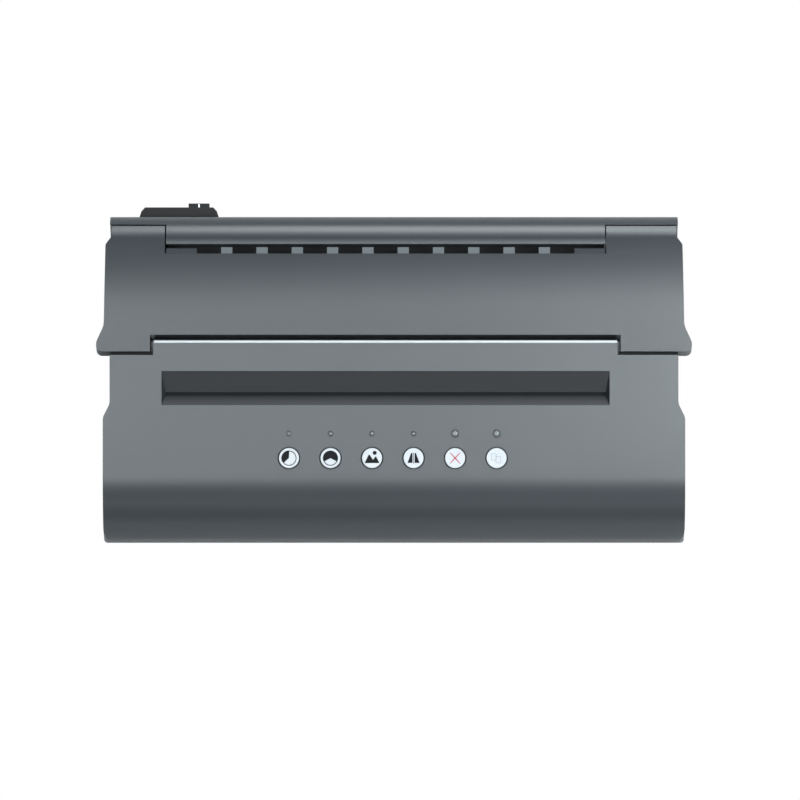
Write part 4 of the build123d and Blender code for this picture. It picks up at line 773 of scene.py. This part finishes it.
def make_lamps(settings):
    """A domed lens and its moulded rim at each status lamp."""
    mesh = frame["nodes"]["status_lamps"].data
    points = np.empty(3 * len(mesh.vertices))
    mesh.vertices.foreach_get("co", points)
    points = points.reshape(-1, 3)
    lenses, rims = [], []
    for node in BUTTONS:
        x = middle(node).x
        near = points[np.abs(points[:, 0] - x) < 3 * MM]
        heights = near @ np.array(PANEL_NORMAL)
        face = near[heights > heights.max() - 1e-5]
        radius = (face[:, 0].max() - face[:, 0].min()) / 2
        centre = (face.min(axis=0) + face.max(axis=0)) / 2
        t = np.linspace(0, np.pi / 2, 9)
        dome = np.stack([radius * np.sin(t), radius * 0.45 * np.cos(t)], axis=1)
        profile = np.vstack([dome, [(radius, -5 * MM), (0, -5 * MM)]])
        lenses.append(turned(profile, centre, PANEL_NORMAL, (1, 0, 0), 40))
        rim = round_profile(
            [(radius + 0.1 * MM, 0), (radius + 0.1 * MM, 0.36 * MM), (radius + 0.5 * MM, 0.36 * MM),
             (radius + 0.55 * MM, 0)],
            0.15 * MM,
        )
        rims.append(turned(rim, centre + np.array(PANEL_NORMAL) * 0.1 * MM, PANEL_NORMAL, (1, 0, 0), 40))
    lens = add_piece("lamp_lenses", *joined(lenses), "lamp", "body")
    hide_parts("status_lamps")
    add_piece("lamp_rims", *joined(rims), "casing", "body")


def make_power_marks(settings):
    """Bar and ring on the rocker's two halves, and a tick on the upper end, seen from above.

    Each mark has its place and its upright as (y, z), from the rocker's axis and before the
    rocker is tilted by 12 degrees about it. A face's normal is its upright turned by 90 degrees.
    """
    low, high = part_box("rocker_switch")
    axis = np.array([(low.x + high.x) / 2, NOSE_Y + 159 * MM, 37.8 * MM])
    c, s = math.cos(math.radians(-12)), math.sin(math.radians(-12))
    turn = np.array([(1, 0, 0), (0, c, -s), (0, s, c)])
    bar = [np.array([(-0.45, -2.0), (0.45, -2.0), (0.45, 2.0), (-0.45, 2.0)])]
    tick = [np.array([(-0.4, -1.5), (0.4, -1.5), (0.4, 1.5), (-0.4, 1.5)])]
    marks = []
    for shapes, place, upright in (
        (bar, (5.05, 3.95), (2.2, 7.9)),
        (ring_shapes(1.8, 0.5), (5.05, -3.95), (-2.2, 7.9)),
        (tick, (4.1, 8.1), (-4.15, 0.4)),
    ):
        up = np.array([0, *upright]) / np.hypot(*upright)
        normal = turn @ np.cross((-1, 0, 0), up)
        origin = axis + turn @ np.array([0, *place]) * MM + normal * 0.01 * MM
        for outline in shapes:
            marks.append(flat_shape(outline * MM, origin, (-1, 0, 0), turn @ up, normal, 0.05 * MM))
    add_piece("rocker_marks", *joined(marks), "ink_pale", body_of_node("rocker_switch"), smooth=False)


# ---- finishes of the rest ---------------------------------------------------------------
ROUNDED_REST = {
    "left_frame": ("steel", 0.1),
    "right_frame": ("steel", 0.1),
    "gear_plate": ("steel", 0.1),
    "gear_studs": ("steel", 0.2),
    "hinge_pins": ("steel", 0.3),
    "roller_bushes": ("brass", 0.2),
    "platen_bushes": ("brass", 0.2),
    "platen_shaft": ("steel", 0.3),
    "scan_shaft": ("steel", 0.3),
    "feed_shaft": ("steel", 0.3),
    "platen_gear": ("gear_plastic", 0.12),
    "scan_gear": ("gear_plastic", 0.12),
    "feed_gear": ("gear_plastic", 0.12),
    "stencil_gear": ("gear_plastic", 0.12),
    "document_gear": ("gear_plastic", 0.12),
    "stencil_pinion": ("brass", 0.1),
    "document_pinion": ("brass", 0.1),
    "thermal_head": ("ceramic", 0.15),
    "heat_sink": ("aluminium", 0.25),
    "cross_bar": ("steel", 0.2),
    "stencil_chute": ("black_plastic", 0.3),
    "document_chute": ("black_plastic", 0.3),
    "image_sensor": ("black_plastic", 0.3),
    "sensor_glass": ("glass", 0.1),
    "sensor_springs": ("spring_steel", 0.2),
    "sensor_tray": ("black_plastic", 0.3),
    "separation_pad": ("black_rubber", 0.4),
    "pad_holder": ("black_plastic", 0.3),
    "main_board": ("circuit_board", 0.08),
    "power_supply": ("circuit_board", 0.08),
    "board_posts": ("brass", 0.3),
    "button_board": ("circuit_board", 0.08),
    "tact_switches": ("black_plastic", 0.3),
    "inlet_pins": ("brass", 0.4),
}


def make_insides(settings):
    """Frames, shafts, gears, head, sensor and boards, each with its finish and edges."""
    for node, (material, radius) in ROUNDED_REST.items():
        rounded_copy(node, material, radius * MM)


# ---- paper drive ------------------------------------------------------------------------
def make_rollers(settings):
    """Rubber sleeves with rounded ends, and grooves ground round the feed tyres.

    Over a tyre's length the radius is R - 0.12 mm * max(0, cos(2 pi x / pitch))^6.
    """
    for node, material in (("platen_roller", "black_rubber"), ("scan_roller", "pale_rubber")):
        low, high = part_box(node)
        radius, centre = (high.z - low.z) / 2, (low + high) / 2
        profile = [
            (3.0 * MM, low.x), (radius - 0.5 * MM, low.x), (radius, low.x + 0.5 * MM),
            (radius, high.x - 0.5 * MM), (radius - 0.5 * MM, high.x), (3.0 * MM, high.x), (3.0 * MM, low.x),
        ]
        points, faces = turned(profile, (0, centre.y, centre.z), (1, 0, 0), (0, 1, 0), 96)
        sleeve = add_piece(f"{node}_sleeve", points, faces, material, body_of_node(node))
        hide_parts(node)
    low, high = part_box("feed_tyres")
    radius, centre = (high.z - low.z) / 2, (low + high) / 2
    width = 26.0 * MM
    shapes = []
    for x in (low.x + width / 2, centre.x, high.x - width / 2):
        along = np.linspace(-width / 2, width / 2, 105)
        groove = 0.12 * MM * np.maximum(0, np.cos(2 * np.pi * along / (2.6 * MM))) ** 6
        surface = np.stack([radius - groove, x + along], axis=1)
        ends = [(3.0 * MM, x - width / 2)], [(3.0 * MM, x + width / 2), (3.0 * MM, x - width / 2)]
        profile = np.vstack([ends[0], surface, ends[1]])
        shapes.append(turned(profile, (0, centre.y, centre.z), (1, 0, 0), (0, 1, 0), 80))
    tyres = add_piece("feed_tyre_sleeves", *joined(shapes), "black_rubber", body_of_node("feed_tyres"))
    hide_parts("feed_tyres")


def tube_along(path, radius, sides=10, closed_ends=True):
    """A round tube swept along a path of points; frames by parallel transport."""
    path = np.asarray(path, float)
    tangent = np.gradient(path, axis=0)
    tangent /= np.linalg.norm(tangent, axis=1)[:, None]
    normal = np.cross(tangent[0], (0.0, 0.0, 1.0))
    if np.linalg.norm(normal) < 1e-6:
        normal = np.cross(tangent[0], (1.0, 0.0, 0.0))
    turn = np.linspace(0, 2 * np.pi, sides, endpoint=False)
    rings = []
    for point, direction in zip(path, tangent):
        normal = normal - direction * normal.dot(direction)
        normal /= np.linalg.norm(normal)
        side = np.cross(direction, normal)
        rings.append(point + radius * (np.cos(turn)[:, None] * normal + np.sin(turn)[:, None] * side))
    faces = [tuple(f) for f in grid_faces(len(path), sides, wrap=True)]
    if closed_ends:
        last = (len(path) - 1) * sides
        faces += [tuple(range(sides))[::-1], tuple(range(last, last + sides))]
    return np.vstack(rings), faces


def make_springs(settings):
    """Coil springs under the print head: p(t) = (R cos t, R sin t, z0 + h * s(t)),
    where s runs flat over the first and last turn, as ground ends do."""
    low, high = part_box("head_springs")
    y, radius, wire = (low.y + high.y) / 2, 2.2 * MM, 0.36 * MM
    shapes = []
    for x in (low.x + 2.6 * MM, high.x - 2.6 * MM):
        turns = 5.0
        t = np.linspace(0, 2 * np.pi * turns, 180)
        share = t / t[-1]
        rise = np.clip((share - 0.14) / 0.72, 0, 1)
        rise = rise * rise * (3 - 2 * rise)
        path = np.stack(
            [
                x + radius * np.cos(t),
                y + radius * np.sin(t),
                low.z + wire + (high.z - low.z - 2 * wire) * (0.15 * share + 0.85 * rise),
            ],
            axis=1,
        )
        shapes.append(tube_along(path, wire, 8))
    coils = add_piece("head_spring_coils", *joined(shapes), "spring_steel", body_of_node("head_springs"))
    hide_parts("head_springs")


def make_motors(settings):
    """Motors: drawn can with a rolled rim, end boss, eared flange, screws and leads' block."""
    for node in ("stencil_motor", "document_motor"):
        low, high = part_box(node)
        motor = rounded_copy(node, "steel", 0.35 * MM, 3)
        y, z = (low.y + high.y) / 2, (low.z + high.z) / 2
        back = high.x
        boss = round_profile(
            [(17.0 * MM, 0), (16.4 * MM, 0.25 * MM), (8.5 * MM, 0.25 * MM), (8.0 * MM, 0.7 * MM), (4.0 * MM, 0.7 * MM),
             (3.6 * MM, 0.35 * MM), (0, 0.35 * MM)],
            0.25 * MM,
        )
        parts = [turned(boss, (back, y, z), (1, 0, 0), (0, 1, 0), 64)]
        add_piece(f"{node}_boss", *joined(parts), "steel", body_of_node(node))
        heads = []
        for side in (-1, 1):
            at = (low.x + 1.0 * MM, y + side * 19.4 * MM, z)
            heads.append(screw_head(at, (1, 0, 0), (0, 1, 0), 2.0 * MM))
        add_piece(f"{node}_screws", *joined(heads), "steel", "body")
        assert motor is not None


def screw_head(origin, axis, side, radius):
    """A pan head with a cross recess worked in as a dip: the dome's height is
    h(r) = 0.62 R sqrt(1 - (0.8 r / R)^2), less the cross's depth near its arms."""
    axis, side = np.asarray(axis, float), np.asarray(side, float)
    across = np.cross(axis, side)
    steps, rows = 48, 10
    turn = np.linspace(0, 2 * np.pi, steps, endpoint=False)
    r = np.linspace(0.0, 1.0, rows)[:, None] * radius
    u, v = r * np.cos(turn), r * np.sin(turn)
    height = 0.62 * radius * np.sqrt(1 - (0.8 * r / radius) ** 2) * np.ones_like(u)
    arm = np.minimum(np.abs(u), np.abs(v))
    cross = np.clip(1 - arm / (0.14 * radius), 0, 1) * np.clip(1.5 - 2.2 * r / radius, 0, 1)
    height = height - 0.3 * radius * cross
    points = u[..., None] * side + v[..., None] * across + height[..., None] * axis
    skirt = u[-1:, :, None] * side + v[-1:, :, None] * across
    points = np.vstack([points.reshape(-1, 3), skirt.reshape(-1, 3)]) + np.asarray(origin, float)
    return points, grid_faces(rows + 1, steps, wrap=True)


# ---- electronics ------------------------------------------------------------------------
def chip(centre_x, centre_y, z, width, depth, height, pins):
    """A packaged circuit: bevelled body, and gull-wing pins along its two long sides."""
    body = chamfered_block(centre_x, centre_y, z + 0.15 * MM, width, depth, height, 0.25 * MM)
    legs = []
    for side in (-1, 1):
        for i in range(pins):
            x = centre_x + (i - (pins - 1) / 2) * width / pins
            y = centre_y + side * depth / 2
            profile = [
                (y - side * 0.2 * MM, z + height * 0.55), (y + side * 0.5 * MM, z + height * 0.55),
                (y + side * 0.7 * MM, z + 0.1 * MM), (y + side * 1.2 * MM, z + 0.1 * MM),
            ]
            path = [(x, py, pz) for py, pz in profile]
            legs.append(tube_along(path, 0.14 * MM, 4))
    return body, legs


def chamfered_block(x, y, z, width, depth, height, edge):
    """A block whose top edges are cut back by edge on all four sides."""
    def ring(inset, level):
        w, d = width / 2 - inset, depth / 2 - inset
        return [(x - w, y - d, level), (x + w, y - d, level), (x + w, y + d, level), (x - w, y + d, level)]

    points = np.array(ring(0, z) + ring(0, z + height - edge) + ring(edge, z + height))
    faces = [tuple(f) for f in grid_faces(3, 4, wrap=True)] + [(0, 3, 2, 1), (8, 9, 10, 11)]
    return points, faces


def make_board_parts(settings):
    """Chips, capacitors and connectors on the boards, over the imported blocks."""
    low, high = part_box("main_board")
    top = low.z + 1.6 * MM
    origin_y = NOSE_Y
    chips, legs = [], []
    for x, y, w, d, h, pins in (
        (-40, 34, 18, 18, 1.75, 16), (-68, 30, 12, 8, 1.4, 10), (-8, 30, 9, 7, 1.6, 7), (12, 30, 9, 7, 1.6, 7)
    ):
        body, feet = chip(x * MM, origin_y + y * MM, top, w * MM, d * MM, h * MM, pins)
        chips.append(body)
        legs += feet
    add_piece("board_chips", *joined(chips), "chip", "body", smooth=False)
    add_piece("board_pins", *joined(legs), "steel", "body")
    shells = []
    for x, y, w in ((44, 24, 20), (44, 52, 16), (-88, 50, 14)):
        shells.append(chamfered_block(x * MM, origin_y + y * MM, top,
                                      (w + 0.4) * MM, 6.4 * MM, 6.2 * MM, 0.4 * MM))
    add_piece("board_connectors", *joined(shells), "gear_plastic", "body", smooth=False)
    cans, tops = [], []
    low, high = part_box("power_supply")
    top = low.z + 1.6 * MM
    for x, y in ((-100, 110), (-100, 124)):
        profile = round_profile([(0, 0), (4.65, 0), (4.65, 8.55), (3.9, 8.65), (3.9, 8.5), (0, 8.5)], 0.4, 4) * MM
        cans.append(turned(profile, (x * MM, origin_y + y * MM, top), (0, 0, 1), (1, 0, 0), 40))
        vent = stroke((-3, 0), (3, 0), 0.5)
        for turn in (0, 90):
            angle = math.radians(turn)
            spun = vent @ np.array([[math.cos(angle), -math.sin(angle)], [math.sin(angle), math.cos(angle)]])
            at = (x * MM, origin_y + y * MM, top + 8.5 * MM)
            tops.append(flat_shape(spun * MM, at, (1, 0, 0), (0, 1, 0), (0, 0, 1), 0.08 * MM))
    add_piece("supply_capacitors", *joined(cans), "chip", "body")
    add_piece("capacitor_vents", *joined(tops), "aluminium", "body", smooth=False)
    coil = []
    for i in range(14):
        half = 9.4 - 0.02 * i
        x = (-84 + 2.2 + i * 1.2) * MM
        loop = rounded_loop(half * MM, 4.0 * MM, 1.4 * MM)
        path = np.stack([np.full(len(loop), x), origin_y + 118 * MM + loop[:, 0], top + 4.6 * MM + loop[:, 1]], axis=1)
        coil.append(tube_along(path, 0.55 * MM, 6, closed_ends=False))
    add_piece("transformer_winding", *joined(coil), "brass", "body")


def rounded_loop(half_width, half_height, radius, steps=6):
    """A closed rounded rectangle about the origin, its first point repeated at its end."""
    loop = []
    for sx, sy, start in ((1, 1, 0), (-1, 1, 90), (-1, -1, 180), (1, -1, 270)):
        centre = (sx * (half_width - radius), sy * (half_height - radius))
        loop.append(arc_points(radius, start, start + 90, steps, centre))
    loop = np.vstack(loop)
    return np.vstack([loop, loop[:1]])


def make_feet(settings):
    """Feet: a turned pad with a rounded rim, a waist and a dimple in its sole."""
    low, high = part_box("rubber_feet")
    radius = 6.5 * MM
    shapes = []
    for x in (low.x + radius, high.x - radius):
        for y in (low.y + radius, high.y - radius):
            profile = [(0, 0.5), (2.6, 0.5), (3.2, 0.0), (5.9, 0.0), (6.5, 0.5), (6.3, 1.6), (6.5, 2.9),
                       (2.5, 3.0), (2.5, 5.0), (0, 5.0)]
            rounded = round_profile(profile, 0.4, 4) * MM
            shapes.append(turned(rounded, (x, y, low.z), (0, 0, 1), (1, 0, 0), 48))
    feet = add_piece("feet_turned", *joined(shapes), "black_rubber", "body")
    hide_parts("rubber_feet")


# ---- stage ------------------------------------------------------------------------------
def area_lamp(name, place, target, width, depth, power, colour=(1.0, 1.0, 1.0)):
    """A rectangular lamp aimed at a point."""
    light = bpy.data.lights.new(name, "AREA")
    light.shape = "RECTANGLE"
    light.size, light.size_y = width, depth
    light.energy = power
    light.color = colour
    lamp = bpy.data.objects.new(name, light)
    bpy.context.scene.collection.objects.link(lamp)
    lamp.location = place
    lamp.rotation_euler = (Vector(target) - Vector(place)).to_track_quat("-Z", "Y").to_euler()
    return lamp


def backdrop_material():
    """White paper: plain white to the camera, and a faint fibre tone to what it lights."""
    material = bpy.data.materials.new("backdrop_paper")
    material.use_nodes = True
    tree = material.node_tree
    tree.nodes.clear()
    out = tree.nodes.new("ShaderNodeOutputMaterial")
    paper = tree.nodes.new("ShaderNodeBsdfDiffuse")
    fibre = noise_node(tree, 300.0, 4.0)
    tree.links.new(object_coordinates(tree), fibre.inputs["Vector"])
    shade = mix_colour(tree, fibre.outputs[0], (0.46, 0.46, 0.465, 1), (0.5, 0.5, 0.505, 1))
    tree.links.new(shade, paper.inputs["Color"])
    white = tree.nodes.new("ShaderNodeEmission")
    white.inputs["Color"].default_value = (1, 1, 1, 1)
    white.inputs["Strength"].default_value = 1.0
    rays = tree.nodes.new("ShaderNodeLightPath")
    mixed = tree.nodes.new("ShaderNodeMixShader")
    tree.links.new(rays.outputs["Is Camera Ray"], mixed.inputs[0])
    tree.links.new(paper.outputs[0], mixed.inputs[1])
    tree.links.new(white.outputs[0], mixed.inputs[2])
    tree.links.new(mixed.outputs[0], out.inputs["Surface"])
    return material


def make_stage():
    """White sweep under the machine, with a low curled rear edge, the lamps, sky and camera."""
    steps = 24
    bend = np.linspace(0, np.pi / 2, steps)
    radius, run = 0.3, 2.3
    line = [(-2.5, 0.0), (run, 0.0)]
    line += [(run + radius * math.sin(t), radius * (1 - math.cos(t))) for t in bend[1:]]
    line = np.array(line)
    points = np.concatenate([np.stack([np.full(len(line), x), line[:, 0], line[:, 1]], axis=1)
                             for x in (-3.0, 3.0)])
    mesh = bpy.data.meshes.new("sweep")
    mesh.from_pydata(points.tolist(), [], grid_faces(2, len(line)).tolist())
    mesh.shade_smooth()
    sweep = bpy.data.objects.new("sweep", mesh)
    bpy.context.scene.collection.objects.link(sweep)
    mesh.materials.append(backdrop_material())

    cool = (0.9, 0.975, 1.0)
    area_lamp("overhead", (0.1, -0.3, 1.5), (0.0, 0.0, 0.0), 1.9, 0.5, 15.8, cool)
    area_lamp("front_soft", (0.1, -1.4, 0.8), (0.0, 0.0, 0.0), 1.6, 0.4, 2.2, cool)
    area_lamp("rear_panel", (0.2, 1.3, 0.85), (0.0, 0.0, 0.05), 0.9, 0.7, 22.0, cool)
    area_lamp("left_fill", (-0.45, -0.2, 0.75), (-0.1, 0.0, 0.0), 0.3, 0.5, 2.5, cool)
    area_lamp("right_fill", (0.45, -0.2, 0.75), (0.1, 0.0, 0.0), 0.3, 0.5, 6.8, cool)

    world = bpy.data.worlds.new("studio")
    world.use_nodes = True
    tree = world.node_tree
    sky = tree.nodes["Background"]
    rays = tree.nodes.new("ShaderNodeLightPath")
    shade = mix_colour(tree, rays.outputs["Is Camera Ray"], (0.1, 0.1, 0.105, 1), (1.0, 1.0, 1.0, 1))
    tree.links.new(shade, sky.inputs["Color"])
    bpy.context.scene.world = world
    bpy.context.scene.view_settings.view_transform = "Standard"

    camera = bpy.data.objects.new("camera", bpy.data.cameras.new("camera"))
    bpy.context.scene.collection.objects.link(camera)
    distance, elevation = 6.0, math.radians(75.0)
    aim = Vector((0.003, -0.0157, 0.035))
    camera.location = aim + Vector((0, -math.cos(elevation), math.sin(elevation))) * distance
    camera.rotation_euler = (aim - camera.location).to_track_quat("-Z", "Y").to_euler()
    camera.data.sensor_width = 36.0
    camera.data.lens = 36.0 * distance / 0.4
    camera.data.clip_end = 40.0
    bpy.context.scene.camera = camera


# ---- add-on -----------------------------------------------------------------------------
class CopierOperator:
    """What every operator of this add-on shares."""

    bl_options = {"REGISTER", "UNDO"}

    def settings(self, context):
        return context.scene.copier_settings


class COPIER_OT_covers(CopierOperator, bpy.types.Operator):
    """Finish the tray, panel, lid, cap, strip and power module"""

    bl_idname = "copier.covers"
    bl_label = "Covers"

    def execute(self, context):
        make_covers(self.settings(context))
        make_trim(self.settings(context))
        return {"FINISHED"}


class COPIER_OT_controls(CopierOperator, bpy.types.Operator):
    """Build the buttons, status lamps and rocker marks"""

    bl_idname = "copier.controls"
    bl_label = "Controls"

    def execute(self, context):
        settings = self.settings(context)
        make_buttons(settings)
        make_lamps(settings)
        make_power_marks(settings)
        return {"FINISHED"}


class COPIER_OT_drive(CopierOperator, bpy.types.Operator):
    """Build the rollers, springs and motors, and finish what carries them"""

    bl_idname = "copier.drive"
    bl_label = "Paper drive"

    def execute(self, context):
        settings = self.settings(context)
        make_insides(settings)
        make_rollers(settings)
        make_springs(settings)
        make_motors(settings)
        return {"FINISHED"}


class COPIER_OT_electronics(CopierOperator, bpy.types.Operator):
    """Build the parts on the boards and the turned feet"""

    bl_idname = "copier.electronics"
    bl_label = "Electronics and feet"

    def execute(self, context):
        settings = self.settings(context)
        make_board_parts(settings)
        make_feet(settings)
        return {"FINISHED"}


class COPIER_OT_stage(bpy.types.Operator):
    """Set the sweep, the lamps and the camera"""

    bl_idname = "copier.stage"
    bl_label = "Stage"
    bl_options = {"REGISTER", "UNDO"}

    def execute(self, context):
        make_stage()
        return {"FINISHED"}


OPERATORS = (
    COPIER_OT_covers,
    COPIER_OT_controls,
    COPIER_OT_drive,
    COPIER_OT_electronics,
    COPIER_OT_stage,
)


class COPIER_PT_panel(bpy.types.Panel):
    """Sidebar panel with the settings and one button for each group of pieces"""

    bl_label = "Copier"
    bl_idname = "COPIER_PT_panel"
    bl_space_type = "VIEW_3D"
    bl_region_type = "UI"
    bl_category = "Copier"

    def draw(self, context):
        settings = context.scene.copier_settings
        for name in settings.bl_rna.properties.keys():
            if name not in {"rna_type", "name"}:
                self.layout.prop(settings, name)
        for operator in OPERATORS:
            self.layout.operator(operator.bl_idname)


CLASSES = (CopierSettings, *OPERATORS, COPIER_PT_panel)


def register():
    for cls in CLASSES:
        bpy.utils.register_class(cls)
    bpy.types.Scene.copier_settings = bpy.props.PointerProperty(type=CopierSettings)


def unregister():
    del bpy.types.Scene.copier_settings
    for cls in reversed(CLASSES):
        bpy.utils.unregister_class(cls)


def main():
    register()
    MATERIALS.update(make_materials(bpy.context.scene.copier_settings))
    bpy.ops.copier.covers()
    bpy.ops.copier.controls()
    bpy.ops.copier.drive()
    bpy.ops.copier.electronics()
    bpy.ops.copier.stage()


if __name__ == "__main__":
    main()
